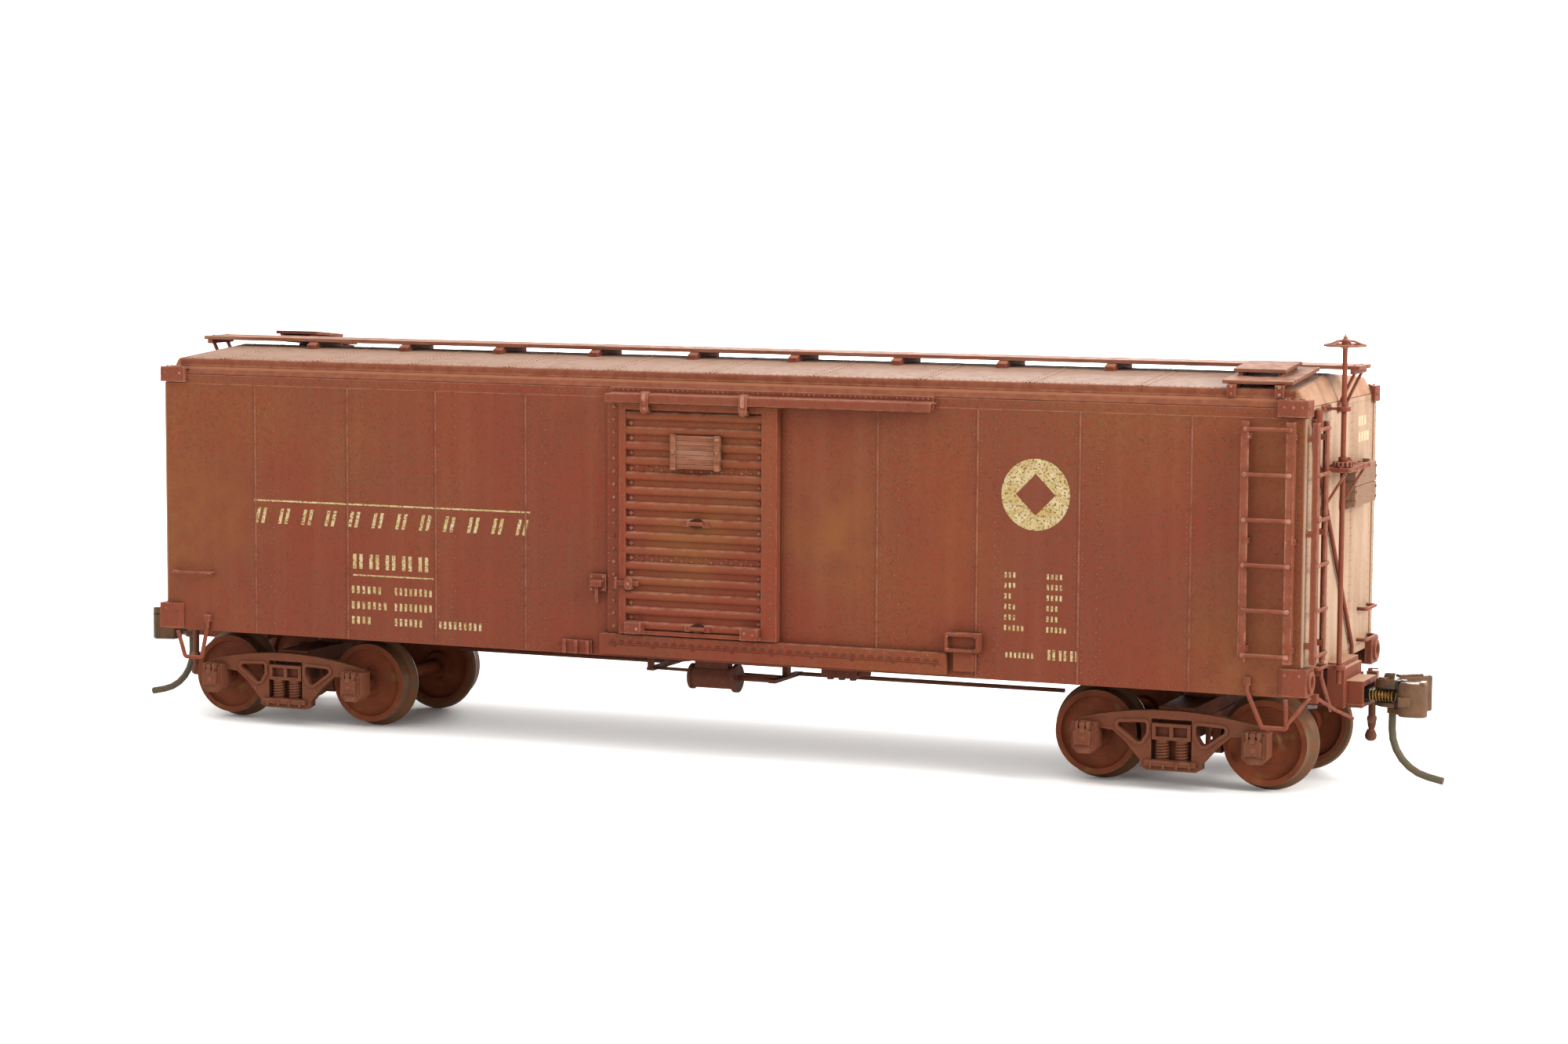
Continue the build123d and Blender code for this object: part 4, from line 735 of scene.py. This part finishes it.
# ---------------------------------------------------------------- fastenings on the body's fittings
def body_fastenings():
    """Bolts and rivets on the corner caps, brackets, steps, boards, ladders and door frame."""
    heads = Shape()
    for along in (-1, 1):
        for x in (68.3, 69.3, 70.3):
            heads.dome((along * x, -16.05, 42.55), OUT, 0.17, 0.12, 8)
            heads.bolt((along * x, -15.5, 43.3), Z, 0.16, 0.16)
        for x in (68.6, 69.9):
            heads.bolt((along * x, -15.1, 43.3), Z, 0.14, 0.16)
        for x in (68.9, 70.5):
            heads.dome((along * x, -16.15, 13.9), OUT, 0.16, 0.1, 8)
    for y in (-14.2, -15.3, 14.2, 15.3):
        heads.bolt((70.95, y, 42.4), END, 0.18, 0.16)
    for x in (62.1, 67.4):
        for z in (43.75, 44.55):
            heads.bolt((x, -14.8, z), OUT, 0.2, 0.14)
    for y in (-1.6, 1.6):
        heads.bolt((HALF_LENGTH + 0.3, y, 41.5), END, 0.2, 0.16)
        heads.bolt((72.3, y, BOARD_TOP), Z, 0.16, 0.1)
    rung_heights = [40.2 - number * 4.85 for number in range(6)]
    for z in rung_heights:
        for x in (64.35, 69.25):
            heads.bolt((x, -17.0, z), OUT, 0.3, 0.2)
        for y in (-14.8, -11.0):
            heads.bolt((71.9, y, z), END, 0.3, 0.2)
    for z in (16.6, 28.2, 39.4):
        for x in (64.75, 68.95):
            heads.dome((x, -16.85, z), OUT, 0.16, 0.1)
    post = -16.05
    heads.row((-10.3, post, 15.0), (-10.3, post, 40.3), 1.5, OUT, 0.24, 0.2)
    heads.row((-10.95, post, 15.4), (-10.95, post, 40.3), 0.9, OUT, 0.08, 0.05)
    heads.row((-10.4, -16.0, 42.25), (28.0, -16.0, 42.25), 0.62, OUT, 0.1, 0.07)
    heads.row((-11.4, RAIL_FACE, 13.85), (30.2, RAIL_FACE, 13.85), 1.7, OUT, 0.08, 0.05)
    for x, z in ((-13.1, 20.6), (-11.6, 20.6), (-13.1, 19.15), (-11.6, 19.15)):
        heads.bolt((x, -16.2, z), OUT, 0.13, 0.1)
    for x in (30.85, 34.15):
        for z in (14.75, 16.15):
            heads.bolt((x, -17.0, z), OUT, 0.14, 0.1)
    heads.both().piece("body_bolts", "carbody", "detail_paint", detail)

    brake = Shape()
    for x in (71.1, STAFF_X):
        for y in (-8.3, -6.2, -2.2, 0.1):
            brake.bolt((x, y, 35.7), Z, 0.17, 0.16)
    for y in (-8.3, -5.4, -2.6, 0.1):
        brake.bolt((73.7, y, 35.45), END, 0.16, 0.12)
    for y in (-8.3, 0.1):
        brake.bolt((HALF_LENGTH + 0.25, y, 30.9), END, 0.18, 0.14)
    for y in (-8.6, -6.0):
        brake.bolt((HALF_LENGTH + 0.3, y, 42.0), END, 0.18, 0.14)
    brake.bolt((HALF_LENGTH + 0.3, STAFF_Y, 15.05), END, 0.18, 0.14)
    brake.piece("brake_bolts", "carbody", "detail_paint", detail)


def tack_board_planks():
    """Each tack board is two planks on battens, with a bolt through every crossing."""
    planks, bolts = Shape(), Shape()
    for low, high in ((30.6, 32.82), (32.88, 35.1)):
        planks.box((71.7, 1.2, low), (71.95, 10.8, high))
        for y in (1.5, 10.5):
            for z in (low + 0.55, high - 0.55):
                bolts.bolt((71.95, y, z), END, 0.16, 0.12)
    planks.both().piece("tack_planks", "carbody", "board_paint", tack_paint, 0.05)
    bolts.both().piece("tack_bolts", "carbody", "detail_paint", detail)


def running_board_nails():
    """Nails over each saddle and over both ends of the running board."""
    nails = Shape()
    for number in range(9):
        x = (number - 4) * SHEET_PITCH - 6.3
        for y in (-2.2, -1.3, -0.5, 0.5, 1.3, 2.2):
            nails.dome((x, y, BOARD_TOP), Z, 0.11, 0.05)
    for x in (-72.3, 72.3):
        for y in (-2.2, -0.5, 0.5, 2.2):
            nails.dome((x, y, BOARD_TOP), Z, 0.11, 0.05)
    nails.piece("running_board_nails", "carbody", "board_paint", boards)


def rail_details():
    """Slots and hooks pressed along the lower door rail."""
    shape = Shape()
    x = -10.6
    shape.ridge((-10.8, RAIL_FACE, 12.95), (30.0, RAIL_FACE, 12.95), OUT, 0.12, 0.05)
    while x < 29.5:
        shape.ridge((x, RAIL_FACE, 13.2), (x + 0.8, RAIL_FACE, 13.2), OUT, 0.14, 0.06)
        shape.ridge((x + 0.2, RAIL_FACE, 13.42), (x + 0.7, RAIL_FACE, 13.42), OUT, 0.1, 0.05)
        x += 1.1
    for number in range(9):
        x = -9.9 + number * 4.9
        shape.dome((x, RAIL_FACE, 12.85), OUT, 0.28, 0.08, 10)
    shape.both().piece("rail_slots", "carbody", "body_paint", slots)


# ---------------------------------------------------------------- doors
RIB_TOP = 39.35
RIB_PITCH = 1.72
RIVETED_VALLEYS = (3, 9)


def door_rivets():
    """Bolts at the ends of each valley and two staggered rivet rows where the door's sheets lap."""
    heads = Shape()
    face = DOOR_SHEET
    for number in range(14):
        z = RIB_TOP - (number + 0.5) * RIB_PITCH
        heads.bolt((-7.95, face, z), OUT, 0.3, 0.16, 4, math.pi / 4)
        heads.dome((-7.95, face - 0.14, z), OUT, 0.15, 0.1)
        heads.bolt((7.95, face, z), OUT, 0.26, 0.16, 4, math.pi / 4)
        if number in RIVETED_VALLEYS:
            heads.row((-6.6, face, z - 0.15), (7.0, face, z - 0.15), 1.25, OUT, 0.21, 0.18)
            heads.row((-7.2, face, z + 0.25), (6.4, face, z + 0.25), 1.25, OUT, 0.16, 0.12)
    for x in (-8.9, 9.5):
        heads.row((x, -16.9, 15.2), (x, -16.9, 40.2), 1.72 if x < 0 else 0.86, OUT, 0.09, 0.05)
    return heads


def capsule(width, low, high):
    """An upright outline with round ends."""
    r = width / 2
    angles = [math.pi * k / 8 for k in range(9)]
    top = [(r * math.cos(a), high - r + r * math.sin(a)) for a in angles]
    return top + [(-x, low + high - z) for x, z in top]


def door_hardware():
    """Hangers, guide blocks, card board, hasp, and handles over dark plates of painted shade in their
    pockets.
    """
    metal, wood, dark = Shape(), Shape(), Shape()
    for x in (-5.6, 6.6):
        metal.prism(capsule(0.95, 39.7, 42.2), (x, -17.95, 0), X, Z, OUT * 0.28)
        metal.prism(capsule(0.5, 40.7, 42.1), (x, -18.2, 0), X, Z, OUT * 0.1)
        metal.box((x - 0.45, -18.0, 42.0), (x + 0.45, -17.45, 42.2))
        metal.box((x - 0.3, -18.1, 39.8), (x + 0.3, -16.9, 40.4))
        metal.dome((x, -18.2, 40.25), OUT, 0.2, 0.14, 8)
    for left, right in ((-8.3, -6.1), (6.1, 8.4)):
        metal.box((left + 0.1, -17.8, 14.4), (right - 0.1, -16.6, 15.75))
        metal.bolt(((left + right) / 2 - 0.5, -17.8, 15.2), OUT, 0.2, 0.05)
        metal.bolt(((left + right) / 2 + 0.5, -17.8, 15.0), OUT, 0.2, 0.05)
    for k in range(7):
        low = 33.5 + k * 0.545
        wood.box((-2.5, -17.3, low), (3.35, -16.6, low + 0.51))
    for x in (-2.3, 3.15):
        wood.box((x - 0.3, -17.55, 33.4), (x + 0.3, -17.25, 37.4))
        for z in (33.8, 35.4, 37.0):
            metal.dome((x, -17.52, z), OUT, 0.17, 0.08, 8)
    metal.box((-9.85, -17.2, 19.85), (-6.8, -16.85, 20.4))
    metal.prism(capsule(0.9, 19.4, 20.85), (-7.9, -17.1, 0), X, Z, OUT * 0.35)
    metal.dome((-7.9, -17.42, 20.1), OUT, 0.2, 0.08, 8)
    metal.rod((-9.55, -17.3, 19.5), (-9.55, -17.3, 20.8), 0.16)
    pocket = []
    for k in range(16):
        a = 2 * math.pi * k / 16
        pocket.append((0.95 * math.cos(a), 0.56 * math.sin(a)))
    # Each handle's pocket is a dark plate of painted shade under the bar.
    for x, z in ((0.4, 27.3), (0.6, 15.3)):
        dark.prism(pocket, (x, DOOR_LOW.y + 0.25, z), X, Z, OUT * 0.3)
        metal.rod((x - 0.95, DOOR_LOW.y - 0.3, z), (x + 0.95, DOOR_LOW.y - 0.3, z), 0.24, 10)
        for way in (-1, 1):
            foot = x + way * 1.2
            metal.box((foot - 0.35, DOOR_LOW.y - 0.2, z - 0.33), (foot + 0.35, -16.4, z + 0.33))
    return metal, wood, dark


def doors():
    """Each door's rivets, fittings, card board and the painted shade in its handle pockets, riding on the
    door.
    """
    heads = door_rivets()
    metal, wood, dark = door_hardware()
    for side, turned in (("near", False), ("far", True)):
        riding = f"door_{side}"
        parts = [part.half_turned() if turned else part for part in (heads, metal, wood, dark)]
        parts[0].piece(f"{riding}_rivets", riding, "body_paint", door)
        made = parts[1].piece(f"{riding}_hardware", riding, "detail_paint", detail, 0.06)
        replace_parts(made, f"{riding}_fittings")
        parts[2].piece(f"{riding}_card_board", riding, "board_paint", boards, 0.04)
        parts[3].piece(f"{riding}_handle_pocket_shade", riding, "body_paint", pocket_shade)


# ---------------------------------------------------------------- trucks
def truck_details():
    """Coil springs and their backing plate, journal box lids with hinges, ribs and frame bolts."""
    springs, castings = Shape(), Shape()
    for x in (-1.1, 1.1):
        springs.coil((x, -12.65, 3.35), (x, -12.65, 5.6), 0.66, 0.14, 6, 18)
        springs.lathe([(0.54, 3.35), (0.54, 5.6)], (x, -12.65, 0), 14)
        springs.lathe([(0.82, 3.3), (0.82, 3.46)], (x, -12.65, 0), 18)
        springs.lathe([(0.82, 5.5), (0.82, 5.64)], (x, -12.65, 0), 18)
    for way in (-1, 1):
        x = way * 9.625
        lid = [(-0.95, 4.75), (0.85, 4.75), (0.95, 6.1), (0.55, 6.55), (-0.65, 6.55), (-1.05, 6.1)]
        castings.prism(lid, (x, LID_BACK, 0), X, Z, OUT * (LID_BACK - FRAME_FACE + 0.22))
        castings.dome((x, FRAME_FACE - 0.2, 5.35), OUT, 0.36, 0.16, 12)
        castings.box((x - 0.28, FRAME_FACE - 0.35, 6.1), (x + 0.28, LID_BACK, 7.3))
        for step in (-0.62, 0.62):
            lug = x + step
            castings.box((lug - 0.16, FRAME_FACE - 0.25, 6.5), (lug + 0.16, LID_BACK, 7.35))
        belly = [(-1.0, 4.6), (-0.45, 3.75), (0.45, 3.75), (1.0, 4.6)]
        castings.prism(belly, (x, -14.45, 0), X, Z, Y * 1.1)
        castings.rod((x - 0.85, FRAME_FACE + 0.05, 7.0), (x + 0.85, FRAME_FACE + 0.05, 7.0), 0.24)
    for x in (-2.2, -0.75, 0.75, 2.2):
        castings.box((x - 0.12, -13.8, 2.5), (x + 0.12, -13.1, 3.3))
    castings.box((-2.95, -13.75, 3.1), (2.95, -13.2, 3.3))
    castings.box((-2.7, -12.0, 3.0), (2.7, -11.75, 6.1))
    for x, z in ((-4.2, 4.4), (4.2, 4.4), (-7.2, 6.9), (7.2, 6.9)):
        castings.dome((x, -13.2, z), OUT, 0.2, 0.1, 8)
    for letter, way in (("a", -1), ("b", 1)):
        there = (way * TRUCK_X, 0, 0)
        riding = f"truck_{letter}"
        coils = springs.both().moved(there)
        made = coils.piece(f"{riding}_coil_springs", riding, "spring_steel", truck)
        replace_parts(made, f"{riding}_springs")
        castings.both().moved(there).piece(f"{riding}_castings", riding, "truck_paint", truck, 0.04)


# ---------------------------------------------------------------- couplers and hoses
def knuckle_springs():
    """A fine open coil in the pocket of each coupler head."""
    spring = Shape()
    spring.coil((74.75, -2.1, 10.35), (77.7, -2.3, 10.3), 0.57, 0.07, 8, 20)
    for letter, shape in (("b", spring), ("a", spring.half_turned())):
        made = shape.piece(f"knuckle_coil_{letter}", f"coupler_{letter}", "spring_brass", brass)
        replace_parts(made, f"knuckle_spring_{letter}")


def plate(shape, outline, low, thick):
    """A level outline of some thickness."""
    shape.prism(outline, (0, 0, low), X, Y, Z * thick)


def couplers():
    """Heads with a spring pocket, guard arm and lock lifter, and knuckles with trip pins."""
    core, cast, small = Shape(), Shape(), Shape()
    core.box((68.8, -1.15, 9.7), (75.9, 1.15, 10.8))
    plate(core, [(75.2, -1.2), (77.7, -1.35), (77.7, 0.5), (77.4, 2.2), (75.2, 1.2)], 9.1, 2.7)
    near = [(75.25, -1.3), (75.9, -2.05), (76.8, -2.35), (77.7, -2.3)]
    horn = [(80.6, 3.3), (79.9, 3.8), (77.6, 3.1)]
    plan = near + [(77.7, 0.4), (79.8, 2.2)] + horn + [(75.9, 2.2), (75.3, 1.2)]
    plate(cast, plan, 11.05, 1.1)
    plate(cast, near + [(77.5, 1.8), (75.9, 1.8), (75.3, 1.2)], 9.05, 0.6)
    plate(cast, [(77.3, 1.6), (79.2, 1.7), (79.9, 2.3)] + horn, 8.15, 3.5)
    lifter = [(76.1, -1.4), (77.2, -1.2), (77.2, -0.7), (76.3, -0.7)]
    small.prism(lifter, (0, 0, 12.0), X, Y, Vector((0.15, 0, 0.75)))
    plate(small, [(75.7, -2.0), (76.5, -2.3), (76.9, -1.7), (76.0, -1.4)], 12.0, 0.35)
    plate(small, [(76.9, 1.3), (77.5, 0.6), (79.7, 2.5), (79.5, 3.1)], 12.05, 0.3)
    small.rod((78.6, -2.0, 12.0), (78.6, -2.0, 12.2), 0.38, 12)
    small.box((77.5, -2.25, 12.0), (78.7, -1.6, 12.12))
    face, parts, pin = Shape(), Shape(), Shape()
    front = [(78.05, -2.6), (78.6, -2.92), (80.3, -2.88), (81.0, -2.5), (81.2, -1.9), (80.85, -0.9)]
    back = [(80.45, 0.1), (79.9, 0.1), (79.9, -0.7), (79.1, -1.2), (78.05, -1.4)]
    plate(face, front + back, 8.15, 3.75)
    plate(parts, [(78.2, -1.8), (76.4, -0.6), (76.4, 0.6), (77.4, 0.6), (79.0, -1.2)], 8.2, 0.75)
    parts.box((78.15, -3.05, 9.3), (79.45, -2.7, 10.4))
    parts.box((80.4, -2.7, 11.75), (81.0, -1.2, 12.1))
    bend = [math.radians(13 * k) for k in range(7)]
    path = [(76.9, 0, 8.4)]
    path += [(76.9 + 5.2 * (1 - math.cos(a)), 0, 6.4 - 5.2 * math.sin(a)) for a in bend]
    pin.tube(path + [(path[-1][0] + 1.7, 0, path[-1][2] - 0.36)], 0.42, 12)
    made = (core, cast, small, face, parts, pin)
    for letter, turned in (("b", False), ("a", True)):
        shapes = [shape.half_turned() if turned else shape for shape in made]
        head, arm = f"coupler_{letter}", f"knuckle_{letter}"
        shapes[0].piece(f"coupler_core_{letter}", head, "coupler_metal", coupler_core, 0.05)
        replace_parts(shapes[1].piece(f"coupler_head_{letter}", head, "coupler_metal", coupler, 0.2), head)
        shapes[2].piece(f"coupler_lifter_{letter}", head, "coupler_metal", coupler, 0.06)
        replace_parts(shapes[3].piece(f"knuckle_face_{letter}", arm, "coupler_metal", knuckle, 0.22), arm)
        shapes[4].piece(f"knuckle_lug_{letter}", arm, "coupler_metal", knuckle, 0.08)
        shapes[5].piece(f"trip_pin_{letter}", arm, "coupler_metal", trip_metal)


def brake_wheel():
    """A dished hand wheel: the rim hangs a little below the hub, on five curved spokes."""
    wheel, x, y, rim = Shape(), STAFF_X, STAFF_Y, 48.85
    sides, tube = 48, 10
    around = [2 * math.pi * i / sides for i in range(sides + 1)]
    wheel.tube([(x + 2.22 * math.cos(a), y + 2.22 * math.sin(a), rim) for a in around], 0.14, tube)
    for number in range(5):
        a = 2 * math.pi * number / 5 + 0.35
        rise = [(2.18, 0.0), (1.65, 0.12), (1.0, 0.42), (0.3, 0.5)]
        wheel.tube([(x + r * math.cos(a), y + r * math.sin(a), rim + h) for r, h in rise], 0.12)
    wheel.lathe([(0.36, -0.35), (0.4, 0.2), (0.4, 0.62), (0.26, 0.7)], (x, y, rim), 14)
    wheel.bolt((x, y, rim + 0.66), Z, 0.24, 0.3)
    wheel.rod((x, y, rim + 0.9), (x, y, rim + 1.25), 0.12, 8, 0.04)
    made = wheel.piece("brake_hand_wheel", "hand_brake", "detail_paint", detail)
    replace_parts(made, "brake_wheel")


def air_hoses():
    """Each hose hangs from its angle cock and ends in a flat coupling."""
    shape = Shape()
    x, y = HOSE_X, HOSE_Y
    path = [(x, y, 11.6), (x, y, 10.4), (73.48, y, 9.0), (x, y, 7.6), (73.52, y, 6.3)]
    shape.tube(path, 0.42, 12)
    shape.lathe([(0.5, 0.0), (0.56, 0.15), (0.56, 0.5), (0.5, 0.62)], (x, y, 6.4), 14)
    shape.lathe([(0.5, 0.0), (0.58, 0.1), (0.58, 0.45), (0.5, 0.55)], (x, y, 10.9), 14)
    shape.lathe([(0.3, 0.0), (0.46, 0.5), (0.5, 1.0)], (x, y, 5.45), 12)
    profile = [(0.34, 0.0), (0.62, 0.22), (0.68, 0.62), (0.52, 1.1), (0.36, 1.35)]
    shape.lathe(profile, (73.42, y, 4.2), 12)
    shape.box((72.9, y - 0.5, 11.35), (74.1, y + 0.5, 12.1))
    shape.rod((73.2, y, 12.05), (73.2, y, 12.35), 0.25)
    shape.box((73.05, y - 0.15, 12.25), (74.15, y + 0.15, 12.4))
    made = shape.both().piece("air_hoses_moulded", "carbody", "hose_rubber", hose, 0.04)
    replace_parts(made, "air_hoses")


side_details()
side_marks()
end_details()
roof_details()
body_fastenings()
tack_board_planks()
running_board_nails()
rail_details()
doors()
truck_details()
knuckle_springs()
couplers()
brake_wheel()
air_hoses()


# ---------------------------------------------------------------- studio
def matte(name, color):
    """A plain dull material."""
    made = bpy.data.materials.new(name)
    made.use_nodes = True
    shader = made.node_tree.nodes["Principled BSDF"]
    shader.inputs["Base Color"].default_value = color
    shader.inputs["Roughness"].default_value = 0.9
    shader.inputs["Specular IOR Level"].default_value = 0.1
    return made


def studio():
    """A pale floor that curves up all round, well outside every view."""
    sides = 96
    level, sweep, wall = 1.6, 0.3, 0.35
    profile = [(0.0, 0.0), (level, 0.0)]
    bend = [math.radians(7.5 * k) for k in range(1, 13)]
    profile += [(level + sweep * math.sin(a), sweep * (1 - math.cos(a))) for a in bend]
    profile.append((level + sweep, wall))
    points = [(0, 0, 0)]
    turns = [2 * math.pi * i / sides for i in range(sides)]
    for r, h in profile[1:]:
        points += [(r * math.cos(a), r * math.sin(a), h) for a in turns]
    faces = [(0, 1 + i, 1 + (i + 1) % sides) for i in range(sides)]
    for k in range(len(profile) - 2):
        for i in range(sides):
            a, b = 1 + k * sides + i, 1 + k * sides + (i + 1) % sides
            faces.append((a, a + sides, b + sides, b))
    mesh = bpy.data.meshes.new("studio_floor")
    mesh.from_pydata(points, [], faces)
    mesh.shade_smooth()
    floor = bpy.data.objects.new("studio_floor", mesh)
    bpy.context.scene.collection.objects.link(floor)
    mesh.materials.append(matte("studio_white", (0.93, 0.925, 0.915, 1)))


def lamp(name, place, target, size, power, color=(1, 1, 1)):
    """A round soft lamp that the camera can't see, aimed at a point."""
    data = bpy.data.lights.new(name, "AREA")
    data.shape = "DISK"
    data.size = size
    data.energy = power
    data.color = color
    made = bpy.data.objects.new(name, data)
    made.location = place
    made.rotation_mode = "QUATERNION"
    made.rotation_quaternion = (Vector(target) - Vector(place)).to_track_quat("-Z", "Y")
    made.visible_camera = False
    bpy.context.scene.collection.objects.link(made)


def lights():
    """A bright world, a warm key lamp by the B end, a weak top lamp and a lamp behind."""
    world = bpy.data.worlds.new("studio_world")
    world.use_nodes = True
    background = world.node_tree.nodes["Background"]
    background.inputs["Color"].default_value = (0.99, 0.99, 0.985, 1)
    background.inputs["Strength"].default_value = 1.8
    bpy.context.scene.world = world
    lamp("key", (0.9, -0.22, 0.42), (0.05, 0, 0.03), 0.35, 9.0, (1.0, 0.97, 0.93))
    lamp("top", (0.1, 0.25, 0.9), (0, 0, 0), 0.5, 0.8)
    lamp("rear", (-0.15, 0.95, 0.22), (0, 0, 0), 0.6, 9.0)


def camera():
    """The camera stands about 430 mm off, a little above the roof, and looks down 5.6 degrees."""
    yaw, pitch, roll = (math.radians(a) for a in (22.745, 5.593, 0.295))
    level = math.cos(pitch)
    forward = Vector((-math.sin(yaw) * level, math.cos(yaw) * level, -math.sin(pitch)))
    right = Vector((math.cos(yaw), math.sin(yaw), 0))
    up = right.cross(forward)
    across = right * math.cos(roll) + up * math.sin(roll)
    above = up * math.cos(roll) - right * math.sin(roll)
    data = bpy.data.cameras.new("camera")
    data.sensor_width = 36.0
    data.lens = 83.43
    data.clip_start = 0.01
    made = bpy.data.objects.new("camera", data)
    turn = Matrix((across, above, -forward)).transposed().to_4x4()
    made.matrix_world = Matrix.Translation((0.16821, -0.39142, 0.06775)) @ turn
    bpy.context.scene.collection.objects.link(made)
    bpy.context.scene.camera = made


studio()
lights()
camera()
bpy.context.scene.view_settings.view_transform = "Standard"
